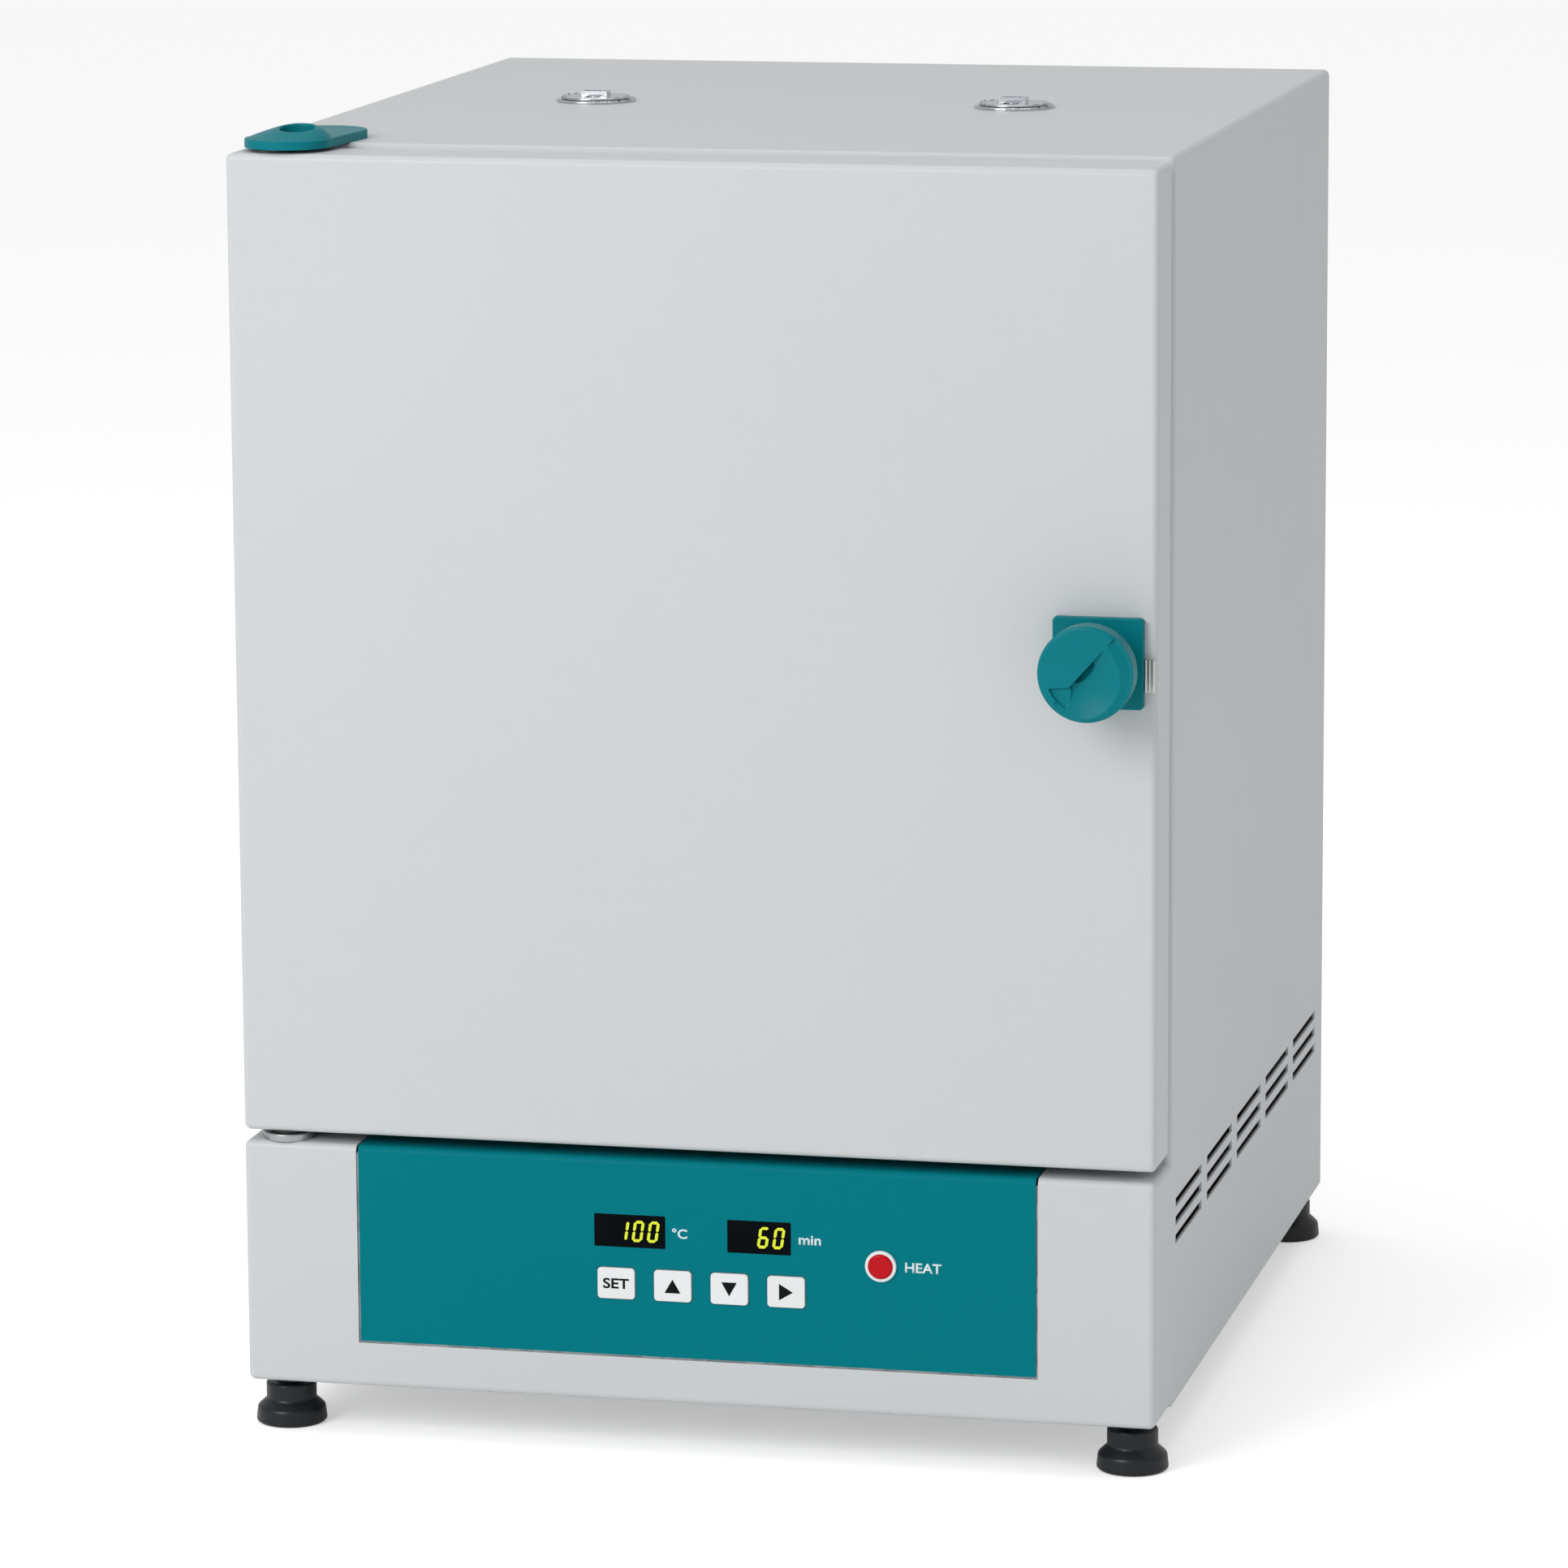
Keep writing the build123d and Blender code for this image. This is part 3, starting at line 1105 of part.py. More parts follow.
def make_switch_frame():
    """Housing of the mains switch, with a round hollow for its rocker."""
    y, z = Y_BACK - ROCKER_AXIS_D, Z_BACK_FITTINGS
    frame = window(SWITCH_X, z, SWITCH_W, SWITCH_H, 2, Y_BACK, Y_BACK + FLANGE_T)
    frame += window(SWITCH_X, z, SWITCH_W - 3, SWITCH_H - 3, 1, Y_BACK - 20, Y_BACK + NEAR)
    half = SWITCH_W / 2 - 4
    frame -= lying(half, ROCKER_R + FIT)
    swing = (rocker_end() ** 2 + (ROCKER_PROUD + ROCKER_AXIS_D) ** 2) ** 0.5
    lean = atan2(rocker_end(), ROCKER_PROUD + ROCKER_AXIS_D) + radians(ROCKER_TILT)
    mouth = swing * sin(lean) + FIT
    frame -= block(SWITCH_X - half, SWITCH_X + half, y, Y_BACK + 4, z - mouth, z + mouth)
    return frame - lying(half + 2, 1.5 + RUNNING)


def make_power_rocker():
    """Rocker whose lower half lies level while its upper half stands out."""
    half = SWITCH_W / 2 - 4 - FIT
    rest = ROCKER_AXIS_D + ROCKER_REST
    end = rocker_end()
    points = [(0, -end), (rest, -end), (rest, 0), (ROCKER_AXIS_D + ROCKER_PROUD, end), (0, end)]
    wedge = extrude(Plane.YZ * make_face(Polyline(*points, close=True)), half, both=True)
    wedge = Pos(SWITCH_X, Y_BACK - ROCKER_AXIS_D, Z_BACK_FITTINGS) * wedge
    drum = lying(half, ROCKER_R)
    drum -= block(SWITCH_X - half - 1, SWITCH_X + half + 1, Y_BACK - 1, Y_BACK + 20, 0, Z_ROOF)
    return drum + wedge + lying(half + 2, 1.5)


def make_foot(x, y):
    """Levelling foot with its stud."""
    shoulder = FOOT_BASE_H + FOOT_SHOULDER_H
    collar = shoulder + FOOT_COLLAR_H
    neck = collar + FOOT_NECK_H
    points = [
        (0, 0),
        (FOOT_BASE_R - 1.5, 0),
        (FOOT_BASE_R, 1.5),
        (FOOT_BASE_R - 0.8, FOOT_BASE_H - 1),
        (FOOT_BASE_R - 1.6, FOOT_BASE_H),
        (FOOT_COLLAR_R + 1.2, shoulder - 1),
        (FOOT_COLLAR_R, shoulder),
        (FOOT_COLLAR_R, collar - 1),
        (FOOT_COLLAR_R - 1, collar),
        (FOOT_NECK_R, collar),
        (FOOT_NECK_R, neck),
        (STUD_R, neck),
        (STUD_R, FOOT_H + STUD_REACH),
        (0, FOOT_H + STUD_REACH),
    ]
    profile = make_face(Plane.XZ * Polyline(*points, close=True))
    return Pos(x, y, 0) * revolve(profile, Axis.Z)


def all_nodes():
    """Every node by name, with its solids."""
    nodes = {
        "outer_case": [make_outer_case()],
        "front_frame": [make_front_frame()],
        "strike_plate": [make_strike_plate()],
        "base_pan": [make_base_pan()],
        "back_panel": [make_back_panel()],
        "case_screws": make_case_screws(),
        "chamber_liner": [make_chamber_liner()],
        "insulation_tray": [make_insulation_tray()],
        "insulation_slabs": make_insulation(),
        "shelf_rails": make_shelf_rails(),
        "lower_shelf": [make_shelf(LOWER_LEVEL)],
        "upper_shelf": [make_shelf(UPPER_LEVEL)],
        "fan_baffle": [make_fan_baffle()],
        "fan_impeller": [make_fan_impeller()],
        "fan_shaft": [make_fan_shaft()],
        "motor_mount": [make_motor_mount()],
        "fan_motor": [make_fan_motor()],
        "ring_heater": [make_heater()],
        "temperature_probe": [make_temperature_probe()],
        "exhaust_ducts": make_exhaust_ducts(),
        "vent_collars": make_vent_collars(),
        "hinge_cap": [make_hinge_cap()],
        "upper_hinge_plate": [make_upper_hinge_plate()],
        "lower_hinge_plate": [make_lower_hinge_plate()],
        "hinge_pins": make_hinge_pins(),
        "hinge_bushes": make_hinge_bushes(),
        "door_shell": [make_door_shell()],
        "door_insulation": [make_door_insulation()],
        "door_inner_panel": [make_door_inner_panel()],
        "door_gasket": [make_door_gasket()],
        "latch_plate": [make_latch_plate()],
        "latch_guide": [make_latch_guide()],
        "latch_knob": [make_latch_knob()],
        "latch_cam": [make_latch_cam()],
        "panel_frame": [make_panel_frame()],
        "control_panel": [make_control_panel()],
        "temperature_window": [make_display_window(TEMPERATURE_X, TEMPERATURE_W)],
        "time_window": [make_display_window(TIME_X, TIME_W)],
        "led_modules": make_led_modules(),
        "display_board": [make_display_board()],
        "key_switches": make_key_switches(),
        "heat_lamp_bezel": [make_lamp_bezel()],
        "heat_lamp_lens": [make_lamp_lens()],
        "controller_board": [make_controller_board()],
        "transformer": [make_transformer()],
        "solid_state_relay": [make_solid_state_relay()],
        "power_inlet": [make_power_inlet()],
        "fuse_holder": [make_fuse_holder()],
        "switch_frame": [make_switch_frame()],
        "power_rocker": [make_power_rocker()],
    }
    for x, side in VENT_PLACES:
        nodes[side + "_damper"] = [make_damper(x)]
    for index, name in enumerate(KEY_NAMES):
        nodes[name] = [make_key(index)]
    for name, place in FOOT_PLACES.items():
        nodes[name + "_foot"] = [make_foot(*place)]
    return nodes


os.makedirs("parts", exist_ok=True)
for node_name, pieces in all_nodes().items():
    solids = [solid for piece in pieces for solid in piece.solids()]
    export_step(Compound(solids), f"parts/{node_name}.step")
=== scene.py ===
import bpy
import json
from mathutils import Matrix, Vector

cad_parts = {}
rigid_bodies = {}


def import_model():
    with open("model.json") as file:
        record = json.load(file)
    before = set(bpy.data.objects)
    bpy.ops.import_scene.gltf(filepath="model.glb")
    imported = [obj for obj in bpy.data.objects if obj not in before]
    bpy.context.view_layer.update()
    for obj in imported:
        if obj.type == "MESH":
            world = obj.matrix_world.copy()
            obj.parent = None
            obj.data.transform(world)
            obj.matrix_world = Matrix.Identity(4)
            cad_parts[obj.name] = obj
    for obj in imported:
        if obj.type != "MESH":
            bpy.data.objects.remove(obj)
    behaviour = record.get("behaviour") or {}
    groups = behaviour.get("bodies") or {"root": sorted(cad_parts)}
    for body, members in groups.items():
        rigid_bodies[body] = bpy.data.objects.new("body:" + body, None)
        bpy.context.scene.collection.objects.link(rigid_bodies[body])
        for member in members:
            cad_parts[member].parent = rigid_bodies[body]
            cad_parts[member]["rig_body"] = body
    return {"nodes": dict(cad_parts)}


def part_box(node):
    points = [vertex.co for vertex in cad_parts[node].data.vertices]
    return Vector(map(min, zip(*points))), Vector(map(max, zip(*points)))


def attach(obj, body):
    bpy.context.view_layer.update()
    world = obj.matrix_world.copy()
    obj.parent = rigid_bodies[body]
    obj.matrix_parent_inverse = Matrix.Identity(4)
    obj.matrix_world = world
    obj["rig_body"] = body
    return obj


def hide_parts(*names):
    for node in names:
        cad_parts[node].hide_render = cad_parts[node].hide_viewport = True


bl_info = {
    "name": "Forced Air Oven",
    "version": (1, 0, 0),
    "blender": (4, 5, 0),
    "location": "View3D > Sidebar > Oven",
    "description": "Finishes a bench-top forced air drying oven around its packed frame",
    "category": "Add Mesh",
}

import functools
import json
from math import pi, radians

import bmesh
import bpy
from mathutils import Matrix, Vector

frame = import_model()

MM = 0.001
ORIGIN = (0.0, 0.0, 0.0)

# Corners closer than this are joined, faces flatter than this are made one, and
# edges are sharp above these angles: in a shape as it is, and before a bevel
WELD = 0.01 * MM
FLAT = radians(0.4)
CREASE = radians(32)
SHARP = radians(30)
EDGE_STEPS = 2
NORMAL_WEIGHT = 100

# Places from the frame, and the nodes that come in sets
PANEL_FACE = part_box("control_panel")[0].y
TEMPERATURE_LOW, TEMPERATURE_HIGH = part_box("temperature_window")
TIME_LOW, TIME_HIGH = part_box("time_window")
KEYS = ("set_key", "up_key", "down_key", "start_key")
FEET = ("front_left_foot", "front_right_foot", "rear_left_foot", "rear_right_foot")

# Print: how far it stands proud, and in the font's own units how much bolder
# its letters are and which of their corners are joined
PRINT = 0.06 * MM
LETTER_WEIGHT = 0.022
LETTER_WELD = 0.0001

# Legends on the panel, in millimetres: left, right, bottom and top
LEGENDS = {
    "degree_legend": ("°C", (-12.7, -3.8, 126.9, 132.8)),
    "minute_legend": ("min", (60.9, 73.8, 127.1, 132.6)),
    "heat_legend": ("HEAT", (122.2, 143.2, 114.1, 119.8)),
}

# Signs on the keys, in millimetres: half the word's width and height, and each
# arrow's turn, width and height
WORD_HALF_W = 7.6
WORD_HALF_H = 3.05
ARROWS = {
    "up": (0.0, 9.3, 8.0),
    "down": (pi, 9.0, 8.0),
    "start": (pi / 2, 8.0, 9.6),
}

# Lit segments of each digit, and as shares of a segment's width the cut of its
# pointed ends and the gap to its neighbour
SEGMENTS = {"0": "abcdef", "1": "bc", "6": "acdefg"}
SEGMENT_POINT = 0.42
SEGMENT_GAP = 0.2

# Twist knob, in millimetres: across and up from its axis, and forward from the
# door. KNOB_SIDE is the half section from the face's rim round to the bore.
KNOB_FRONT = 44.0
KNOB_EDGE = 42.0
KNOB_R = 26.7
FACE_R = 24.4
FACE_RINGS = 72
KNOB_TURNS = 240
KNOB_SIDE = (
    (24.9, 43.85), (26.4, 42.4), (KNOB_R, 41.9), (KNOB_R, 29.6), (25.8, 28.6),
    (18.4, 28.5), (18.0, 28.1), (18.0, 5.3), (5.05, 5.3), (5.05, 31.5), (0.0, 31.5),
)

# The knob's grip: a wall across the face from its top to its foot, a bowl below
# it, a finger pocket along its lower part and a flat pad at the face's lower left
GRIP_TOP = (14.5, 19.0)
GRIP_FOOT = (-6.4, -4.4)
GRIP_WALL = 0.5
UPPER_DEPTH = 0.5
UPPER_SLOPE = 0.03
BOWL_CENTRE = (-3.0, -2.2)
BOWL_R = 22.6
BOWL_DEPTH = 4.6
RING_SLOPE = 0.42
POCKET_DEPTH = 3.0
POCKET_W = 3.9
POCKET_L = 15.5
PAD_TOP = -6.5
PAD_LEAN = 0.09
PAD_CENTRE = (-18.8, -10.6)
PAD_R = 11.4
PAD_REACH = 21.9
PAD_DEPTH = 2.6
PAD_EDGE = 0.5

# Hinge cap, in millimetres from its front end's centre and up from the roof. Its
# rear end stands at CAP_REAR and is smaller by a share. CAP_HILL is the half
# section of its boss, down into the hole.
CAP_TURNS = 96
CAP_R = 25.0
CAP_REAR = (7.0, 49.5, 0.0)
CAP_REAR_SHARE = 0.94
CAP_WALL = 5.0
CAP_ROUND = 0.8
CAP_ROUND_STEPS = 4
CAP_SIDE = 3.0
CAP_HOLLOW = 4.7
CAP_HILL = (
    (0.0, 4.8), (24.0, 4.8), (22.6, 5.7), (20.4, 6.9), (18.0, 8.0), (15.6, 9.0),
    (13.6, 9.75), (12.2, 10.2), (11.5, 10.4), (11.1, 10.45), (10.5, 10.35),
    (10.0, 10.0), (9.8, 9.4), (9.8, 5.9), (9.5, 5.6), (0.0, 5.6),
)
CAP_HOLE_R = 11.3
CAP_SHIFT = 5.0
CAP_LEAN = 0.14

# Studio, in metres: half the floor, the point that the softboxes look at, and
# their places and sizes. The camera's sensor is in millimetres.
FLOOR_HALF = 12.0
FLOOR_WHITE = (0.9, 0.9, 0.9)
FLOOR_LIGHT = 0.1
OVEN_MIDDLE = (0.0, 0.0, 0.4)
KEY_PLACE = (-1.6, -3.2, 2.2)
KEY_SIZE = 2.0
TOP_PLACE = (0.0, 0.2, 3.0)
TOP_SIZE = 2.4
SENSOR_W = 36.0


def srgb(red, green, blue):
    """A display colour, 0 to 255, as scene-linear numbers."""
    shares = (red / 255, green / 255, blue / 255)
    return tuple(s / 12.92 if s <= 0.04045 else ((s + 0.055) / 1.055) ** 2.4 for s in shares)


def colour_property(name, description, default):
    """A colour that a user can change in the sidebar."""
    return bpy.props.FloatVectorProperty(
        name=name, description=description, subtype="COLOR", size=3, min=0.0, max=1.0,
        default=default,
    )


def length_property(name, description, default):
    """A length in metres that a user can change in the sidebar."""
    return bpy.props.FloatProperty(
        name=name, description=description, subtype="DISTANCE", unit="LENGTH",
        precision=5, min=0.0, default=default,
    )


class OvenColours(bpy.types.PropertyGroup):
    """Colours of the oven's finishes"""

    paint: colour_property("Paint", "Light grey powder coat of the casing", srgb(196, 199, 201))
    teal: colour_property("Teal", "Control panel's painted sheet", srgb(2, 116, 126))
    teal_moulding: colour_property("Teal moulding", "Latch and hinge cap", srgb(3, 116, 125))
    steel: colour_property("Steel", "Brushed stainless sheet of the chamber", srgb(196, 194, 190))
    rubber: colour_property("Foot plastic", "Near-black plastic of the feet", srgb(14, 18, 22))
    key: colour_property("Key cap", "Off-white of the four keys", srgb(226, 227, 228))
    digit: colour_property("Digit", "Light of the seven-segment digits", srgb(218, 228, 34))
    lamp: colour_property("Lamp", "Red of the lamp's lens", srgb(190, 8, 22))
    ink: colour_property("Key legend", "Black print on the keys", srgb(10, 13, 15))
    print: colour_property("Panel legend", "White print on the panel", srgb(222, 236, 238))


class OvenDetails(bpy.types.PropertyGroup):
    """Small sizes that only the finish shows"""

    sheet_edge: length_property("Sheet edge", "Radius on the cut edges of sheet metal", 0.25 * MM)
    moulded_edge: length_property("Moulded edge", "Radius on the edges of plastic pieces", 0.6 * MM)
    digit_height: length_property("Digit height", "Height of a seven-segment digit", 12.5 * MM)
    digit_width: length_property("Digit width", "Width of a digit, without its slant", 6.2 * MM)
    digit_pitch: length_property("Digit pitch", "From one digit to the next", 8.85 * MM)
    digit_stroke: length_property("Digit stroke", "Width of a lit segment", 1.65 * MM)
    digit_margin: length_property("Digit margin", "From the last digit to the pane edge", 5.6 * MM)
    digit_slant: bpy.props.FloatProperty(
        name="Digit slant", description="Lean to the right, as a share of the digits' height",
        default=0.15, min=0.0, max=0.5,
    )


class OvenStudio(bpy.types.PropertyGroup):
    """Camera and light of the studio view"""

    place: bpy.props.FloatVectorProperty(
        name="Camera place", description="Where the camera stands", subtype="TRANSLATION",
        unit="LENGTH", size=3, default=(0.9605, PANEL_FACE - 3.9149, 1.1439),
    )
    azimuth: bpy.props.FloatProperty(
        name="Azimuth", description="Turn of the camera about the vertical",
        subtype="ANGLE", default=radians(13.039),
    )
    elevation: bpy.props.FloatProperty(
        name="Elevation", description="Angle at which the camera looks down",
        subtype="ANGLE", default=radians(10.609),
    )
    roll: bpy.props.FloatProperty(
        name="Roll", description="Turn of the camera about its view",
        subtype="ANGLE", default=radians(-0.323),
    )
    lens: bpy.props.FloatProperty(
        name="Lens", description="Focal length in millimetres", unit="CAMERA", default=168.3
    )
    ambient: bpy.props.FloatProperty(
        name="Ambient", description="Strength of the light from all round", default=0.586, min=0.0
    )
    floor_glow: bpy.props.FloatProperty(
        name="Floor glow", description="Light that the white floor adds to the picture",
        default=0.3, min=0.0,
    )
    key_power: bpy.props.FloatProperty(
        name="Key power", description="Power of the softbox at the front left",
        subtype="POWER", unit="POWER", default=72.0, min=0.0,
    )
    top_power: bpy.props.FloatProperty(
        name="Top power", description="Power of the softbox overhead",
        subtype="POWER", unit="POWER", default=16.0, min=0.0,
    )


class Signal:
    """A shader value that takes part in Python arithmetic."""

    def __init__(self, finish, socket):
        self.finish = finish
        self.socket = socket

    def math(self, operation, first, second):
        return self.finish.node("ShaderNodeMath", {"operation": operation}, {0: first, 1: second})

    def __add__(self, other):
        return self.math("ADD", self, other)

    def __radd__(self, other):
        return self.math("ADD", other, self)

    def __mul__(self, other):
        return self.math("MULTIPLY", self, other)

    def __rmul__(self, other):
        return self.math("MULTIPLY", other, self)

    def __lt__(self, other):
        return self.math("LESS_THAN", self, other)


class Finish:
    """A procedural material, made node by node on Object coordinates."""

    def __init__(self, name):
        self.material = bpy.data.materials.new(name)
        self.material.use_nodes = True
        self.tree = self.material.node_tree
        self.tree.nodes.clear()
        self.place = self.node("ShaderNodeTexCoord", output="Object")

    def node(self, kind, settings=(), sockets=(), output=0):
        """Adds a node, sets its settings and then its sockets, and returns one output."""
        made = self.tree.nodes.new(kind)
        for name, value in dict(settings).items():
            if name == "stops":
                self.set_stops(made.color_ramp.elements, value)
            else:
                setattr(made, name, value)
        for name, value in dict(sockets).items():
            self.feed(made.inputs[name], value)
        return Signal(self, made.outputs[output])

    def set_stops(self, elements, stops):
        while len(elements) < len(stops):
            elements.new(1.0)
        for element, (position, colour) in zip(elements, stops):
            element.position = position
            element.color = (*colour[:3], 1.0)

    def feed(self, socket, value):
        if isinstance(value, Signal):
            self.tree.links.new(value.socket, socket)
        elif socket.type == "RGBA":
            socket.default_value = (*value[:3], 1.0)
        else:
            socket.default_value = value

    def noise(self, scale, detail=2.0, stretch=(1.0, 1.0, 1.0)):
        """Soft noise from 0 to 1, with its scale per metre."""
        place = self.node("ShaderNodeMapping", sockets={"Vector": self.place, "Scale": stretch})
        sockets = {"Vector": place, "Scale": scale, "Detail": detail}
        return self.node("ShaderNodeTexNoise", sockets=sockets)

    def cells(self, scale, output="Distance"):
        """Voronoi cells, with their scale per metre."""
        sockets = {"Vector": self.place, "Scale": scale}
        return self.node("ShaderNodeTexVoronoi", sockets=sockets, output=output)

    def ramp(self, factor, *stops):
        """A colour ramp between (position, colour) stops."""
        return self.node("ShaderNodeValToRGB", {"stops": stops}, {"Fac": factor})

    def blend(self, factor, first, second):
        """A mix of two colours."""
        sockets = {0: factor, 6: first, 7: second}
        return self.node("ShaderNodeMix", {"data_type": "RGBA"}, sockets, output=2)

    def bump(self, height, depth):
        """Relief of the given depth in metres."""
        sockets = {"Height": height, "Distance": depth}
        return self.node("ShaderNodeBump", sockets=sockets, output="Normal")

    def surface(self, sockets):
        """Ends the finish in one Principled shader."""
        shader = self.node("ShaderNodeBsdfPrincipled", sockets=sockets)
        end = self.tree.nodes.new("ShaderNodeOutputMaterial")
        self.tree.links.new(shader.socket, end.inputs["Surface"])
        return self.material


def shade(colour, share):
    """The colour, darkened or lightened by a share."""
    return tuple(min(1.0, channel * share) for channel in colour[:3])


def colours():
    return bpy.context.scene.oven_colours


def details():
    return bpy.context.scene.oven_details


def painted(name, colour, gloss, peel, specular=0.4):
    """Baked powder coat: fine orange peel, faint clouding and handling marks in the gloss."""
    finish = Finish(name)
    clouds = finish.noise(scale=3.0, detail=4.0)
    marks = finish.noise(scale=26.0, detail=6.0)
    grain = finish.noise(scale=900.0, detail=2.0)
    return finish.surface({
        "Base Color": finish.blend(clouds, shade(colour, 0.975), shade(colour, 1.02)),
        "Roughness": gloss - 0.04 + marks * 0.09,
        "Normal": finish.bump(grain, peel),
        "Specular IOR Level": specular,
    })


@functools.cache
def powder_coat():
    return painted("powder_coat", colours().paint, gloss=0.42, peel=0.012 * MM)


@functools.cache
def back_coat():
    return painted("back_coat", shade(colours().paint, 0.97), gloss=0.5, peel=0.02 * MM)


@functools.cache
def panel_coat():
    return painted("panel_coat", colours().teal, gloss=0.4, peel=0.006 * MM, specular=0.03)


def moulded(name, colour, gloss, grain_depth=0.008 * MM, specular=0.4):
    """Injection-moulded plastic: spark-eroded grain and faint flow marks."""
    finish = Finish(name)
    flow = finish.noise(scale=18.0, detail=3.0, stretch=(1.0, 1.0, 2.5))
    grain = finish.noise(scale=2600.0, detail=2.0)
    return finish.surface({
        "Base Color": finish.blend(flow, shade(colour, 0.94), shade(colour, 1.05)),
        "Roughness": gloss - 0.05 + flow * 0.1,
        "Normal": finish.bump(grain, grain_depth),
        "Specular IOR Level": specular,
    })


@functools.cache
def teal_moulding():
    return moulded("teal_moulding", colours().teal_moulding, gloss=0.36, specular=0.1)


@functools.cache
def foot_plastic():
    return moulded("foot_plastic", colours().rubber, gloss=0.36, grain_depth=0.012 * MM)


@functools.cache
def key_cap():
    return moulded("key_cap", colours().key, gloss=0.45, grain_depth=0.004 * MM)


@functools.cache
def black_moulding():
    return moulded("black_moulding", srgb(22, 22, 24), gloss=0.45, grain_depth=0.015 * MM)


@functools.cache
def switch_moulding():
    return moulded("switch_moulding", srgb(36, 36, 38), gloss=0.5)


@functools.cache
def white_moulding():
    return moulded("white_moulding", srgb(222, 226, 228), gloss=0.4, grain_depth=0.004 * MM)


@functools.cache
def bush_plastic():
    return moulded("bush_plastic", srgb(58, 58, 60), gloss=0.5)


@functools.cache
def relay_plastic():
    return moulded("relay_plastic", srgb(30, 32, 36), gloss=0.4)


@functools.cache
def stainless():
    """Brushed stainless sheet with its grain laid level."""
    finish = Finish("stainless")
    brush = finish.noise(scale=1.0, detail=3.0, stretch=(14.0, 14.0, 2200.0))
    stain = finish.noise(scale=9.0, detail=5.0)
    steel = colours().steel
    return finish.surface({
        "Base Color": finish.blend(stain, shade(steel, 0.92), shade(steel, 1.04)),
        "Metallic": 1.0,
        "Roughness": 0.2 + brush * 0.16,
        "Normal": finish.bump(brush, 0.006 * MM),
    })


def bright_metal(name, colour, gloss, depth=0.003 * MM):
    """Plated or machined metal with a fine uneven gloss."""
    finish = Finish(name)
    smudge = finish.noise(scale=60.0, detail=4.0)
    texture = finish.noise(scale=1500.0, detail=2.0)
    return finish.surface({
        "Base Color": finish.blend(smudge, shade(colour, 0.94), colour),
        "Metallic": 1.0,
        "Roughness": gloss + smudge * 0.08,
        "Normal": finish.bump(texture, depth),
    })


@functools.cache
def chrome():
    return bright_metal("chrome", srgb(196, 198, 202), gloss=0.15, depth=0.001 * MM)


@functools.cache
def guide_chrome():
    return bright_metal("guide_chrome", srgb(214, 212, 210), gloss=0.16)


@functools.cache
def shelf_chrome():
    return bright_metal("shelf_chrome", srgb(214, 214, 216), gloss=0.14)


@functools.cache
def screw_steel():
    return bright_metal("screw_steel", srgb(190, 190, 188), gloss=0.26)


@functools.cache
def hinge_steel():
    return bright_metal("hinge_steel", srgb(176, 177, 178), gloss=0.3, depth=0.006 * MM)


@functools.cache
def cam_steel():
    return bright_metal("cam_steel", srgb(170, 170, 168), gloss=0.28, depth=0.006 * MM)


@functools.cache
def probe_steel():
    return bright_metal("probe_steel", srgb(186, 184, 180), gloss=0.18)


@functools.cache
def fan_sheet():
    return bright_metal("fan_sheet", srgb(184, 184, 184), gloss=0.3, depth=0.01 * MM)


@functools.cache
def duct_sheet():
    return bright_metal("duct_sheet", srgb(180, 181, 183), gloss=0.3, depth=0.01 * MM)


@functools.cache
def zinc():
    """Galvanised sheet with its spangle."""
    finish = Finish("zinc")
    spangle = finish.cells(scale=140.0, output="Color")
    shades = finish.ramp(spangle, (0.2, srgb(150, 153, 156)), (0.8, srgb(188, 190, 192)))
    scuffs = finish.noise(scale=80.0, detail=5.0)
    return finish.surface({
        "Base Color": shades,
        "Metallic": 0.9,
        "Roughness": 0.34 + scuffs * 0.16,
        "Normal": finish.bump(scuffs, 0.02 * MM),
    })


@functools.cache
def heater_sheath():
    """Heating tube, tempered blue and brown by its heat."""
    finish = Finish("heater_sheath")
    heat = finish.noise(scale=30.0, detail=4.0)
    tempered = finish.ramp(
        heat, (0.3, srgb(92, 84, 78)), (0.5, srgb(70, 72, 84)), (0.7, srgb(112, 98, 78))
    )
    return finish.surface({
        "Base Color": tempered,
        "Metallic": 0.85,
        "Roughness": 0.38 + heat * 0.2,
        "Normal": finish.bump(finish.noise(scale=1200.0), 0.02 * MM),
    })


@functools.cache
def motor_casting():
    """Sand-textured aluminium casting."""
    finish = Finish("motor_casting")
    sand = finish.noise(scale=700.0, detail=4.0)
    return finish.surface({
        "Base Color": finish.blend(sand, srgb(128, 130, 132), srgb(166, 168, 170)),
        "Metallic": 0.8,
        "Roughness": 0.5 + sand * 0.15,
        "Normal": finish.bump(sand, 0.12 * MM),
    })


@functools.cache
def mineral_wool():
    """Layered fibres of mineral wool."""
    finish = Finish("mineral_wool")
    fibres = finish.noise(scale=220.0, detail=8.0, stretch=(1.0, 1.0, 3.0))
    clumps = finish.noise(scale=26.0, detail=4.0)
    tone = finish.blend(fibres, srgb(128, 112, 72), srgb(206, 192, 142))
    return finish.surface({
        "Base Color": finish.blend(clumps * 0.4, tone, srgb(120, 112, 92)),
        "Roughness": 0.92,
        "Normal": finish.bump(fibres + clumps, 1.2 * MM),
    })


@functools.cache
def silicone():
    """Door seal: dusty translucent silicone rubber."""
    finish = Finish("silicone")
    dust = finish.noise(scale=90.0, detail=6.0)
    return finish.surface({
        "Base Color": finish.blend(dust, srgb(196, 192, 184), srgb(222, 219, 212)),
        "Roughness": 0.48 + dust * 0.2,
        "Normal": finish.bump(finish.noise(scale=500.0), 0.03 * MM),
        "Subsurface Weight": 0.15,
        "Subsurface Scale": 0.004,
    })


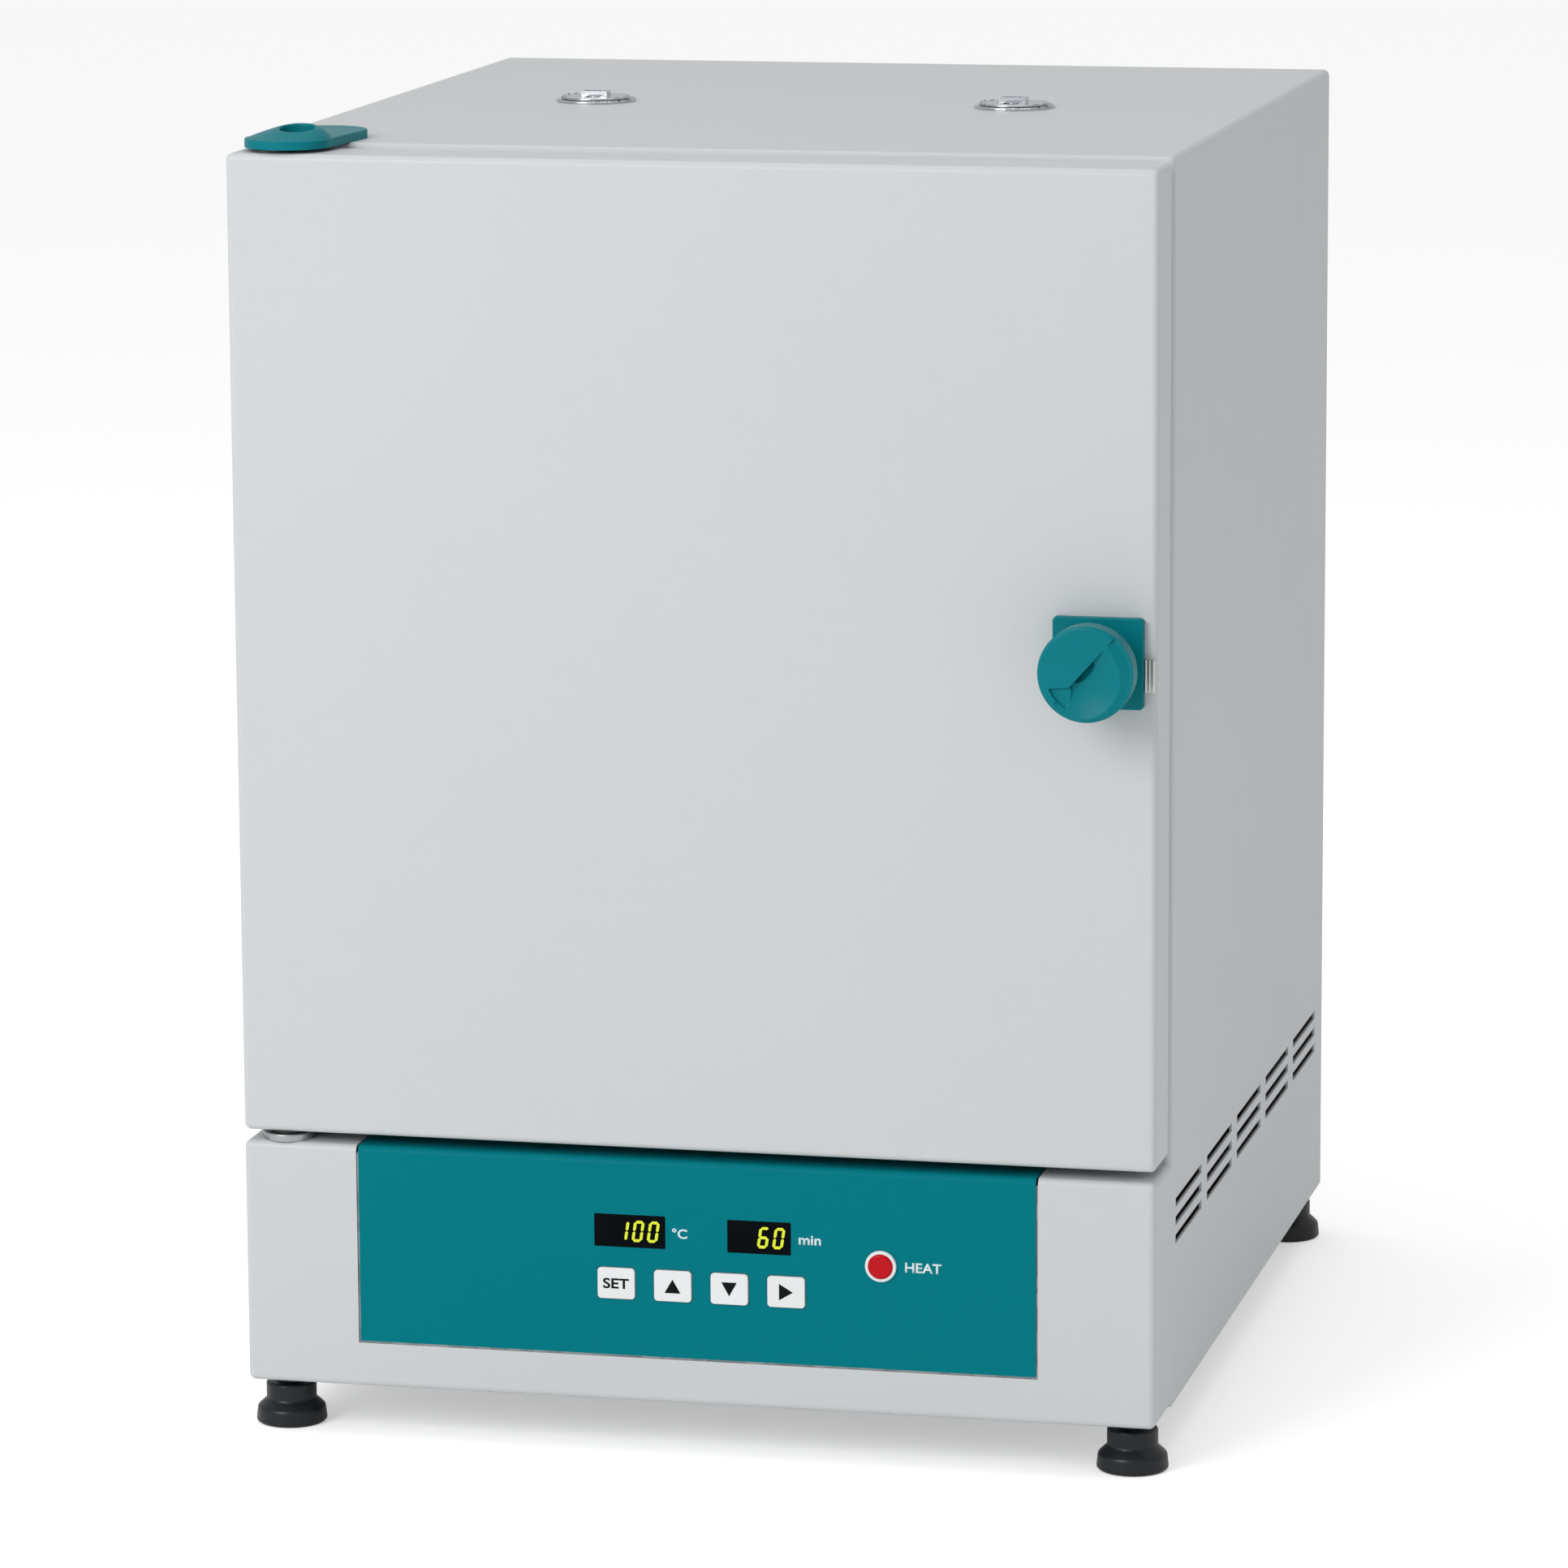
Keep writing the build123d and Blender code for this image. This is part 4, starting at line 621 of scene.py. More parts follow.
@functools.cache
def window_film():
    """Black glossy film over the digits, with a few fine specks."""
    finish = Finish("window_film")
    haze = finish.noise(scale=120.0, detail=4.0)
    return finish.surface({
        "Base Color": finish.blend(haze, srgb(2, 6, 9), srgb(7, 11, 15)),
        "Roughness": 0.12 + haze * 0.06,
        "Normal": finish.bump(finish.noise(scale=400.0), 0.001 * MM),
        "Specular IOR Level": 0.04,
    })


@functools.cache
def digit_light():
    """Lit segment, its glow with a fine grain."""
    finish = Finish("digit_light")
    cells = finish.noise(scale=900.0, detail=2.0)
    glow = finish.blend(cells, shade(colours().digit, 0.86), colours().digit)
    return finish.surface({
        "Base Color": shade(colours().digit, 0.25),
        "Roughness": 0.4,
        "Emission Color": glow,
        "Emission Strength": 0.85,
    })


@functools.cache
def lamp_lens():
    """Ribbed red lens with a faint glow, its colour painted darker towards each cell's rim as shade
    between the ribs.
    """
    finish = Finish("lamp_lens")
    # Painted shade of the ribs: colour darker and glow dimmer towards each cell's rim
    depth = finish.cells(scale=1100.0)
    return finish.surface({
        "Base Color": finish.blend(depth, colours().lamp, shade(colours().lamp, 0.55)),
        "Roughness": 0.1 + depth * 0.1,
        "Emission Color": finish.blend(depth, colours().lamp, shade(colours().lamp, 0.4)),
        "Emission Strength": 0.3,
        "Specular IOR Level": 0.15,
    })


@functools.cache
def circuit_board():
    """Green solder resist with copper tracks and tinned pads."""
    finish = Finish("circuit_board")
    upright = {"Vector": finish.place, "Rotation": (pi / 2, 0.0, 0.0)}
    tracks = finish.node(
        "ShaderNodeTexBrick",
        {"offset": 0.5, "squash": 1.0},
        {
            "Vector": finish.node("ShaderNodeMapping", sockets=upright),
            "Color1": srgb(12, 72, 46),
            "Color2": srgb(9, 60, 38),
            "Mortar": srgb(54, 116, 70),
            "Scale": 160.0,
            "Mortar Size": 0.03,
        },
    )
    pads = finish.cells(scale=260.0) < 0.18
    return finish.surface({
        "Base Color": finish.blend(pads, tracks, srgb(188, 182, 160)),
        "Metallic": pads * 0.8,
        "Roughness": 0.32 + finish.noise(scale=200.0) * 0.15,
        "Normal": finish.bump(pads, 0.05 * MM),
    })


@functools.cache
def led_block():
    return moulded("led_block", srgb(214, 214, 210), gloss=0.5)


@functools.cache
def transformer_iron():
    """Stack of varnished laminations."""
    finish = Finish("transformer_iron")
    layers = finish.node(
        "ShaderNodeTexWave",
        {"bands_direction": "Y"},
        {"Vector": finish.place, "Scale": 320.0, "Distortion": 1.5, "Detail": 2.0},
    )
    return finish.surface({
        "Base Color": finish.blend(layers, srgb(46, 44, 44), srgb(88, 86, 84)),
        "Metallic": 0.6,
        "Roughness": 0.45 + layers * 0.15,
        "Normal": finish.bump(layers, 0.08 * MM),
    })


def ink(name, colour):
    """Screen-printed legend, slightly uneven."""
    finish = Finish(name)
    speckle = finish.noise(scale=1400.0, detail=3.0)
    return finish.surface({
        "Base Color": finish.blend(speckle, shade(colour, 0.9), colour),
        "Roughness": 0.45 + speckle * 0.1,
        "Specular IOR Level": 0.1,
    })


@functools.cache
def black_ink():
    return ink("black_ink", colours().ink)


@functools.cache
def white_ink():
    return ink("white_ink", colours().print)


def place_piece(name, shape, body, material):
    """Turns a bmesh in the row frame into a piece that rides on a body."""
    mesh = bpy.data.meshes.new(name)
    shape.to_mesh(mesh)
    shape.free()
    mesh.materials.append(material)
    piece = bpy.data.objects.new(name, mesh)
    bpy.context.scene.collection.objects.link(piece)
    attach(piece, body)
    return piece


def soften(piece, width):
    """Rounds every sharp edge of a piece a little."""
    bevel = piece.modifiers.new("edges", "BEVEL")
    bevel.width = width
    bevel.segments = EDGE_STEPS
    bevel.limit_method = "ANGLE"
    bevel.angle_limit = SHARP
    bevel.use_clamp_overlap = False
    bevel.harden_normals = True


def even_normals(piece):
    """Keeps wide flat faces flat beside their rounded edges."""
    weighted = piece.modifiers.new("normals", "WEIGHTED_NORMAL")
    weighted.keep_sharp = True
    weighted.weight = NORMAL_WEIGHT


def smooth_with_creases(shape):
    """Shades every face smoothly and keeps the edges at real corners sharp."""
    for face in shape.faces:
        face.smooth = True
    for line in shape.edges:
        line.smooth = line.calc_face_angle(0.0) < CREASE


def turn_half_section(shape, places, axis, steps):
    """Turns a half section about an axis through the origin."""
    corners = [shape.verts.new(place) for place in places]
    for first, second in zip(corners, corners[1:]):
        shape.edges.new((first, second))
    bmesh.ops.spin(
        shape, geom=[*shape.verts, *shape.edges], cent=ORIGIN, axis=axis, dvec=ORIGIN,
        angle=2 * pi, steps=steps, use_merge=True, use_duplicate=False,
    )
    bmesh.ops.remove_doubles(shape, verts=shape.verts, dist=WELD)


def merged_shape(node):
    """A frame node's shape with its corners joined and its flat faces made whole."""
    mesh = frame["nodes"][node].data.copy()
    mesh.attributes.remove(mesh.attributes["custom_normal"])
    shape = bmesh.new()
    shape.from_mesh(mesh)
    bpy.data.meshes.remove(mesh)
    bmesh.ops.remove_doubles(shape, verts=shape.verts, dist=WELD)
    bmesh.ops.dissolve_limit(
        shape, angle_limit=FLAT, verts=shape.verts, edges=shape.edges,
        use_dissolve_boundaries=False, delimit={"NORMAL"},
    )
    return shape


def dress(node, material, edge=0.0):
    """Stands a merged copy of a frame node in its place, with softened edges and a finish."""
    source = frame["nodes"][node]
    shape = merged_shape(node)
    if edge:
        for face in shape.faces:
            face.smooth = True
    else:
        smooth_with_creases(shape)
    piece = place_piece(node + "_finished", shape, source["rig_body"], material)
    if edge:
        soften(piece, edge)
    even_normals(piece)
    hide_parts(node)


def flat_lettering(text):
    """The outline of a text as a flat mesh shape in the XY plane."""
    curve = bpy.data.curves.new("lettering", "FONT")
    curve.body = text
    curve.offset = LETTER_WEIGHT
    carrier = bpy.data.objects.new("lettering", curve)
    bpy.context.scene.collection.objects.link(carrier)
    depsgraph = bpy.context.evaluated_depsgraph_get()
    mesh = bpy.data.meshes.new_from_object(carrier.evaluated_get(depsgraph))
    shape = bmesh.new()
    shape.from_mesh(mesh)
    bpy.data.objects.remove(carrier)
    bpy.data.curves.remove(curve)
    bpy.data.meshes.remove(mesh)
    bmesh.ops.remove_doubles(shape, verts=shape.verts, dist=LETTER_WELD)
    bmesh.ops.dissolve_limit(shape, angle_limit=FLAT, verts=shape.verts, edges=shape.edges)
    return shape


def thicken_forward(shape, thickness):
    """Gives flat faces that look along -Y a thickness, half sunk and half proud."""
    made = bmesh.ops.extrude_face_region(shape, geom=shape.faces[:])
    raised = [item for item in made["geom"] if isinstance(item, bmesh.types.BMVert)]
    bmesh.ops.translate(shape, verts=raised, vec=(0.0, -thickness, 0.0))
    bmesh.ops.translate(shape, verts=shape.verts, vec=(0.0, thickness / 2, 0.0))
    bmesh.ops.recalc_face_normals(shape, faces=shape.faces)


def printed(name, text, box, face, body, material):
    """Lettering that fills box = (left, right, bottom, top) on a face that looks along -Y."""
    left, right, bottom, top = box
    shape = flat_lettering(text)
    xs = [v.co.x for v in shape.verts]
    ys = [v.co.y for v in shape.verts]
    width = max(xs) - min(xs)
    height = max(ys) - min(ys)
    stretch = Matrix.Diagonal(((right - left) / width, (top - bottom) / height, 1.0, 1.0))
    shape.transform(stretch @ Matrix.Translation((-min(xs), -min(ys), 0.0)))
    shape.transform(Matrix.Translation((left, face, bottom)) @ Matrix.Rotation(pi / 2, 4, "X"))
    thicken_forward(shape, 2 * PRINT)
    return place_piece(name, shape, body, material)


def segment_bar(shape, centre, length, stroke, upright):
    """One lit bar with pointed ends, on a face that looks along -Y."""
    made = bmesh.ops.create_cube(shape, size=1.0)["verts"]
    bmesh.ops.scale(shape, verts=made, vec=(length, 2 * PRINT, stroke))
    corners = [
        line for line in {line for v in made for line in v.link_edges}
        if abs(line.verts[0].co.y - line.verts[1].co.y) > PRINT
    ]
    cut = bmesh.ops.bevel(
        shape, geom=corners, offset=stroke * SEGMENT_POINT, affect="EDGES", segments=1,
        profile=0.5, material=-1,
    )
    bar = list({v for face in cut["faces"] for v in face.verts})
    if upright:
        bmesh.ops.rotate(shape, verts=bar, cent=ORIGIN, matrix=Matrix.Rotation(pi / 2, 3, "Y"))
    bmesh.ops.translate(shape, verts=bar, vec=centre)


def digit_shape(shape, digit, right, bottom, face):
    """One seven-segment digit, leaning to the right."""
    size = details()
    half_width = (size.digit_width - size.digit_stroke) / 2
    half_height = (size.digit_height - size.digit_stroke) / 2
    across = 2 * half_width - size.digit_stroke * SEGMENT_GAP
    up = half_height - size.digit_stroke * SEGMENT_GAP
    bars = {
        "a": (0.0, half_height, False),
        "b": (half_width, half_height / 2, True),
        "c": (half_width, -half_height / 2, True),
        "d": (0.0, -half_height, False),
        "e": (-half_width, -half_height / 2, True),
        "f": (-half_width, half_height / 2, True),
        "g": (0.0, 0.0, False),
    }
    older = set(shape.verts)
    for bar in SEGMENTS[digit]:
        x, z, upright = bars[bar]
        length = up if upright else across
        segment_bar(shape, (x, 0.0, z), length, size.digit_stroke, upright)
    made = [v for v in shape.verts if v not in older]
    lean = Matrix.Identity(4)
    lean[0][2] = size.digit_slant
    middle_x = right - size.digit_width / 2 - size.digit_slant * size.digit_height / 2
    middle = Matrix.Translation((middle_x, face, bottom + size.digit_height / 2))
    bmesh.ops.transform(shape, verts=made, matrix=middle @ lean)


def number(name, digits, low, high):
    """A lit number, set to the right in its window."""
    size = details()
    shape = bmesh.new()
    bottom = (low.z + high.z) / 2 - size.digit_height / 2
    right = high.x - size.digit_margin - size.digit_pitch * (len(digits) - 1)
    for step, digit in enumerate(digits):
        digit_shape(shape, digit, right + step * size.digit_pitch, bottom, low.y)
    return place_piece(name, shape, "cabinet", digit_light())


def arrow(name, key, turn, width, height):
    """A solid triangle printed in the middle of a key."""
    low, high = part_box(key)
    shape = bmesh.new()
    made = bmesh.ops.create_cone(
        shape, cap_ends=True, segments=3, radius1=1.0, radius2=1.0, depth=2 * PRINT
    )["verts"]
    upright = Matrix.Rotation(pi / 2, 4, "X")
    bmesh.ops.transform(shape, verts=made, matrix=Matrix.Rotation(turn, 4, "Y") @ upright)
    span_x = max(v.co.x for v in made) - min(v.co.x for v in made)
    span_z = max(v.co.z for v in made) - min(v.co.z for v in made)
    bmesh.ops.scale(shape, verts=made, vec=(width / span_x, 1.0, height / span_z))
    centre_x = (max(v.co.x for v in made) + min(v.co.x for v in made)) / 2
    centre_z = (max(v.co.z for v in made) + min(v.co.z for v in made)) / 2
    place = ((low.x + high.x) / 2 - centre_x, low.y, (low.z + high.z) / 2 - centre_z)
    bmesh.ops.translate(shape, verts=made, vec=place)
    bmesh.ops.recalc_face_normals(shape, faces=shape.faces)
    return place_piece(name, shape, key, black_ink())


def grip_place(x, z):
    """Distances along the knob's grip line, and from it towards the upper left."""
    along = (Vector(GRIP_TOP) - Vector(GRIP_FOOT)).normalized()
    from_foot = Vector((x, z)) - Vector(GRIP_FOOT)
    return from_foot.dot(along), from_foot.dot(Vector((-along.y, along.x)))


def ease(value, low, high):
    """0 below low, 1 above high and a smooth rise between them."""
    share = min(1.0, max(0.0, (value - low) / (high - low)))
    return share * share * (3.0 - 2.0 * share)


def knob_depth(x, z):
    """How far the knob's face lies behind its front plane, all in millimetres."""
    along, above = grip_place(x, z)
    upper = UPPER_DEPTH + UPPER_SLOPE * max(0.0, above)
    from_bowl = (Vector((x, z)) - Vector(BOWL_CENTRE)).length
    sunk = BOWL_DEPTH * (1.0 - (from_bowl / BOWL_R) ** 2)
    bowl = max(sunk, RING_SLOPE * (from_bowl - BOWL_R))
    width = POCKET_W * max(0.0, 1.0 - (2.0 * along / POCKET_L - 1.0) ** 2) ** 0.5
    if width > max(0.0, -above):
        bowl += POCKET_DEPTH * (1.0 + min(0.0, above) / width)
    depth = bowl + (upper - bowl) * ease(above, -GRIP_WALL, 0.0)
    reach = Vector((x, z)).length
    over = ease(PAD_TOP - (z - PAD_LEAN * x), 0.0, PAD_EDGE)
    beside = ease(PAD_R - (Vector((x, z)) - Vector(PAD_CENTRE)).length, 0.0, PAD_EDGE)
    pad = over * beside * ease(PAD_REACH - reach, 0.0, PAD_EDGE)
    depth += (PAD_DEPTH - depth) * pad
    return depth * ease(KNOB_R - reach, 0.0, KNOB_R - FACE_R)


def knob_shape():
    """The knob, turned from its half section, with its grip sunk into its face."""
    rings = [(FACE_R * n / FACE_RINGS, KNOB_FRONT) for n in range(FACE_RINGS + 1)]
    places = [(r * MM, -proud * MM, 0.0) for r, proud in (*rings, *KNOB_SIDE)]
    shape = bmesh.new()
    turn_half_section(shape, places, (0.0, 1.0, 0.0), KNOB_TURNS)
    along = Vector(GRIP_TOP) - Vector(GRIP_FOOT)
    across = Vector((-along.y, 0.0, along.x)).normalized()
    foot = Vector((GRIP_FOOT[0], 0.0, GRIP_FOOT[1])) * MM
    face_y = -KNOB_FRONT * MM + WELD
    for shift in (0.0, -GRIP_WALL * MM):
        front = [face for face in shape.faces if face.calc_center_median().y < face_y]
        lines = {line for face in front for line in face.edges}
        corners = {v for face in front for v in face.verts}
        bmesh.ops.bisect_plane(
            shape, geom=[*front, *lines, *corners], dist=WELD,
            plane_co=foot + across * shift, plane_no=across,
        )
    for corner in shape.verts:
        if corner.co.y < -KNOB_EDGE * MM:
            corner.co.y += knob_depth(corner.co.x / MM, corner.co.z / MM) * MM
    bmesh.ops.recalc_face_normals(shape, faces=shape.faces)
    smooth_with_creases(shape)
    return shape


def cap_hill(shape):
    """The cap's boss, turned from its half section and leaned towards the middle and the front."""
    places = [(r * MM, 0.0, z * MM) for r, z in CAP_HILL]
    turn_half_section(shape, places, (0.0, 0.0, 1.0), CAP_TURNS)
    foot = CAP_HILL[0][1] * MM
    crown = max(z for r, z in CAP_HILL) * MM
    for corner in shape.verts:
        share = min(1.0, (corner.co.z - foot) / (crown - foot))
        in_hole = corner.co.xy.length < CAP_HOLE_R * MM
        if in_hole and corner.co.z > foot + WELD:
            share = 1.0
        corner.co.z += CAP_LEAN * corner.co.y * share
        corner.co.x += CAP_SHIFT * MM * share


def cap_shape():
    """The hinge cap: a hollow slab with two round ends, and a boss with a hole on the front one."""
    shape = bmesh.new()
    cap_hill(shape)
    outline = bmesh.ops.create_circle(
        shape, cap_ends=True, radius=CAP_R * MM, segments=CAP_TURNS
    )["verts"]
    for corner in outline:
        if corner.co.y > WELD:
            corner.co = corner.co * CAP_REAR_SHARE + Vector(CAP_REAR) * MM
    floor = outline[0].link_faces[0]
    raised = bmesh.ops.extrude_face_region(shape, geom=[floor])["geom"]
    lid = next(item for item in raised if isinstance(item, bmesh.types.BMFace))
    bmesh.ops.translate(shape, verts=lid.verts[:], vec=(0.0, 0.0, CAP_WALL * MM))
    bmesh.ops.inset_region(
        shape, faces=[floor], thickness=CAP_SIDE * MM, use_even_offset=True
    )
    ceiling = bmesh.ops.extrude_discrete_faces(shape, faces=[floor])["faces"][0]
    bmesh.ops.translate(shape, verts=ceiling.verts[:], vec=(0.0, 0.0, CAP_HOLLOW * MM))
    bmesh.ops.bevel(
        shape, geom=lid.edges[:], offset=CAP_ROUND * MM, offset_type="OFFSET", affect="EDGES",
        segments=CAP_ROUND_STEPS, profile=0.5, material=-1,
    )
    bmesh.ops.recalc_face_normals(shape, faces=shape.faces)
    smooth_with_creases(shape)
    return shape


class OVEN_OT_casing(bpy.types.Operator):
    """Finish the outer case, door, back and inner frames"""

    bl_idname = "oven.casing"
    bl_label = "Casing"

    def execute(self, context):
        for node in ("outer_case", "door_shell"):
            dress(node, powder_coat())
        dress("back_panel", back_coat())
        dress("front_frame", stainless())
        for node in ("base_pan", "insulation_tray", "panel_frame", "strike_plate", "motor_mount"):
            dress(node, zinc())
        return {"FINISHED"}


class OVEN_OT_hinges(bpy.types.Operator):
    """Make the hinge cap and finish the plates, pins and bushes"""

    bl_idname = "oven.hinges"
    bl_label = "Hinges"

    def execute(self, context):
        shape = cap_shape()
        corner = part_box("hinge_cap")[0]
        front_end = (corner.x + CAP_R * MM, corner.y + CAP_R * MM, corner.z)
        bmesh.ops.translate(shape, verts=shape.verts, vec=front_end)
        cap = place_piece("hinge_cap_finished", shape, "cabinet", teal_moulding())
        even_normals(cap)
        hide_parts("hinge_cap")
        for node in ("upper_hinge_plate", "lower_hinge_plate"):
            dress(node, hinge_steel(), details().sheet_edge)
        dress("hinge_pins", screw_steel())
        dress("hinge_bushes", bush_plastic())
        return {"FINISHED"}


class OVEN_OT_latch(bpy.types.Operator):
    """Make the latch knob and finish its plate, guide and cam"""

    bl_idname = "oven.latch"
    bl_label = "Latch"

    def execute(self, context):
        dress("latch_plate", teal_moulding(), details().moulded_edge)
        shape = knob_shape()
        plate_low, plate_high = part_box("latch_plate")
        middle = (plate_low + plate_high) / 2
        seat = (middle.x, plate_high.y, middle.z)
        bmesh.ops.translate(shape, verts=shape.verts, vec=seat)
        knob = place_piece(
            "latch_knob_finished", shape, "latch", teal_moulding()
        )
        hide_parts("latch_knob")
        dress("latch_guide", guide_chrome())
        dress("latch_cam", cam_steel(), details().sheet_edge)
        return {"FINISHED"}


class OVEN_OT_control_panel(bpy.types.Operator):
    """Finish the control panel, its windows and what lies behind them"""

    bl_idname = "oven.control_panel"
    bl_label = "Control panel"

    def execute(self, context):
        dress("control_panel", panel_coat())
        for node in ("temperature_window", "time_window"):
            dress(node, window_film())
        dress("led_modules", led_block())
        dress("display_board", circuit_board())
        dress("key_switches", switch_moulding())
        return {"FINISHED"}


class OVEN_OT_digits(bpy.types.Operator):
    """Light the numbers in the two windows"""

    bl_idname = "oven.digits"
    bl_label = "Digits"

    def execute(self, context):
        number("temperature_digits", "100", TEMPERATURE_LOW, TEMPERATURE_HIGH)
        number("time_digits", "60", TIME_LOW, TIME_HIGH)
        return {"FINISHED"}


class OVEN_OT_keys(bpy.types.Operator):
    """Finish the four keys and print their signs"""

    bl_idname = "oven.keys"
    bl_label = "Keys"

    def execute(self, context):
        for key in KEYS:
            dress(key, key_cap(), details().moulded_edge)
        low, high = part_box("set_key")
        middle_x = (low.x + high.x) / 2
        middle_z = (low.z + high.z) / 2
        box = (
            middle_x - WORD_HALF_W * MM, middle_x + WORD_HALF_W * MM,
            middle_z - WORD_HALF_H * MM, middle_z + WORD_HALF_H * MM,
        )
        printed("set_sign", "SET", box, low.y, "set_key", black_ink())
        for sign, (turn, width, height) in ARROWS.items():
            arrow(sign + "_sign", sign + "_key", turn, width * MM, height * MM)
        return {"FINISHED"}


class OVEN_OT_lamp(bpy.types.Operator):
    """Finish the heating lamp's bezel and lens"""

    bl_idname = "oven.lamp"
    bl_label = "Lamp"

    def execute(self, context):
        dress("heat_lamp_bezel", white_moulding())
        dress("heat_lamp_lens", lamp_lens())
        return {"FINISHED"}


class OVEN_OT_legends(bpy.types.Operator):
    """Print the units and the lamp's word on the panel"""

    bl_idname = "oven.legends"
    bl_label = "Legends"

    def execute(self, context):
        for name, (text, sides) in LEGENDS.items():
            box = [side * MM for side in sides]
            printed(name, text, box, PANEL_FACE, "cabinet", white_ink())
        return {"FINISHED"}


class OVEN_OT_vents(bpy.types.Operator):
    """Finish the two exhaust vents and their ducts"""

    bl_idname = "oven.vents"
    bl_label = "Vents"

    def execute(self, context):
        for node in ("vent_collars", "left_damper", "right_damper"):
            dress(node, chrome(), details().sheet_edge)
        dress("exhaust_ducts", duct_sheet())
        return {"FINISHED"}


class OVEN_OT_feet(bpy.types.Operator):
    """Finish the four levelling feet"""

    bl_idname = "oven.feet"
    bl_label = "Feet"

    def execute(self, context):
        for node in FEET:
            dress(node, foot_plastic(), details().moulded_edge)
        return {"FINISHED"}


class OVEN_OT_chamber(bpy.types.Operator):
    """Finish the chamber, its rails and the door's inner side"""

    bl_idname = "oven.chamber"
    bl_label = "Chamber"

    def execute(self, context):
        for node in ("chamber_liner", "fan_baffle", "shelf_rails", "door_inner_panel"):
            dress(node, stainless())
        for node in ("insulation_slabs", "door_insulation"):
            dress(node, mineral_wool())
        dress("door_gasket", silicone())
        dress("temperature_probe", probe_steel())
        return {"FINISHED"}


class OVEN_OT_shelves(bpy.types.Operator):
    """Finish the two wire shelves"""

    bl_idname = "oven.shelves"
    bl_label = "Shelves"

    def execute(self, context):
        for node in ("upper_shelf", "lower_shelf"):
            dress(node, shelf_chrome())
        return {"FINISHED"}


class OVEN_OT_air_drive(bpy.types.Operator):
    """Finish the fan, its motor and the ring heater"""

    bl_idname = "oven.air_drive"
    bl_label = "Fan and heater"

    def execute(self, context):
        dress("fan_impeller", fan_sheet())
        dress("fan_shaft", screw_steel())
        dress("fan_motor", motor_casting())
        dress("ring_heater", heater_sheath())
        return {"FINISHED"}


class OVEN_OT_electrics(bpy.types.Operator):
    """Finish the boards, transformer and relay in the housing"""

    bl_idname = "oven.electrics"
    bl_label = "Electrics"

    def execute(self, context):
        dress("controller_board", circuit_board())
        dress("transformer", transformer_iron())
        dress("solid_state_relay", relay_plastic())
        return {"FINISHED"}


class OVEN_OT_mains(bpy.types.Operator):
    """Finish the mains inlet, fuse holder, switch and case screws"""

    bl_idname = "oven.mains"
    bl_label = "Mains fittings"

    def execute(self, context):
        for node in ("power_inlet", "fuse_holder", "switch_frame"):
            dress(node, black_moulding(), details().sheet_edge)
        dress("power_rocker", switch_moulding(), details().sheet_edge)
        dress("case_screws", screw_steel())
        return {"FINISHED"}


def softbox(name, place, size, power):
    """A square studio light that looks at the oven's middle."""
    light = bpy.data.lights.new(name, "AREA")
    light.shape = "RECTANGLE"
    light.size = size
    light.size_y = size
    light.energy = power
    carrier = bpy.data.objects.new(name, light)
    bpy.context.scene.collection.objects.link(carrier)
    view = Vector(OVEN_MIDDLE) - Vector(place)
    carrier.location = place
    carrier.rotation_mode = "QUATERNION"
    carrier.rotation_quaternion = view.to_track_quat("-Z", "Y")


def studio_world(ambient):
    """White to the camera, and softer light from all round."""
    world = bpy.data.worlds.new("studio")
    world.use_nodes = True
    tree = world.node_tree
    tree.nodes.clear()
    seen = tree.nodes.new("ShaderNodeLightPath")
    light = tree.nodes.new("ShaderNodeBackground")
    white = tree.nodes.new("ShaderNodeBackground")
    for background in (light, white):
        background.inputs["Color"].default_value = (1.0, 1.0, 1.0, 1.0)
    light.inputs["Strength"].default_value = ambient
    mix = tree.nodes.new("ShaderNodeMixShader")
    out = tree.nodes.new("ShaderNodeOutputWorld")
    tree.links.new(seen.outputs["Is Camera Ray"], mix.inputs[0])
    tree.links.new(light.outputs[0], mix.inputs[1])
    tree.links.new(white.outputs[0], mix.inputs[2])
    tree.links.new(mix.outputs[0], out.inputs["Surface"])
    bpy.context.scene.world = world


def studio_floor(glow):
    """A wide white floor that looks a little brighter to the camera than it lights."""
    shape = bmesh.new()
    bmesh.ops.create_grid(shape, x_segments=1, y_segments=1, size=FLOOR_HALF)
    mesh = bpy.data.meshes.new("floor")
    shape.to_mesh(mesh)
    shape.free()
    pale = Finish("pale_floor")
    seen = pale.node("ShaderNodeLightPath", output="Is Camera Ray")
    mesh.materials.append(pale.surface({
        "Base Color": FLOOR_WHITE,
        "Roughness": 0.9,
        "Specular IOR Level": 0.1,
        "Emission Color": (1.0, 1.0, 1.0),
        "Emission Strength": FLOOR_LIGHT + seen * glow,
    }))
    floor = bpy.data.objects.new("floor", mesh)
    bpy.context.scene.collection.objects.link(floor)


def studio_camera(settings):
    """The camera, from its place, its turns and its lens."""
    camera = bpy.data.cameras.new("camera")
    camera.sensor_width = SENSOR_W
    camera.lens = settings.lens
    carrier = bpy.data.objects.new("camera", camera)
    bpy.context.scene.collection.objects.link(carrier)
    azimuth = Matrix.Rotation(settings.azimuth, 4, "Z")
    elevation = Matrix.Rotation(pi / 2 - settings.elevation, 4, "X")
    roll = Matrix.Rotation(settings.roll, 4, "Z")
    carrier.matrix_world = Matrix.Translation(settings.place) @ (azimuth @ elevation) @ roll
    bpy.context.scene.camera = carrier


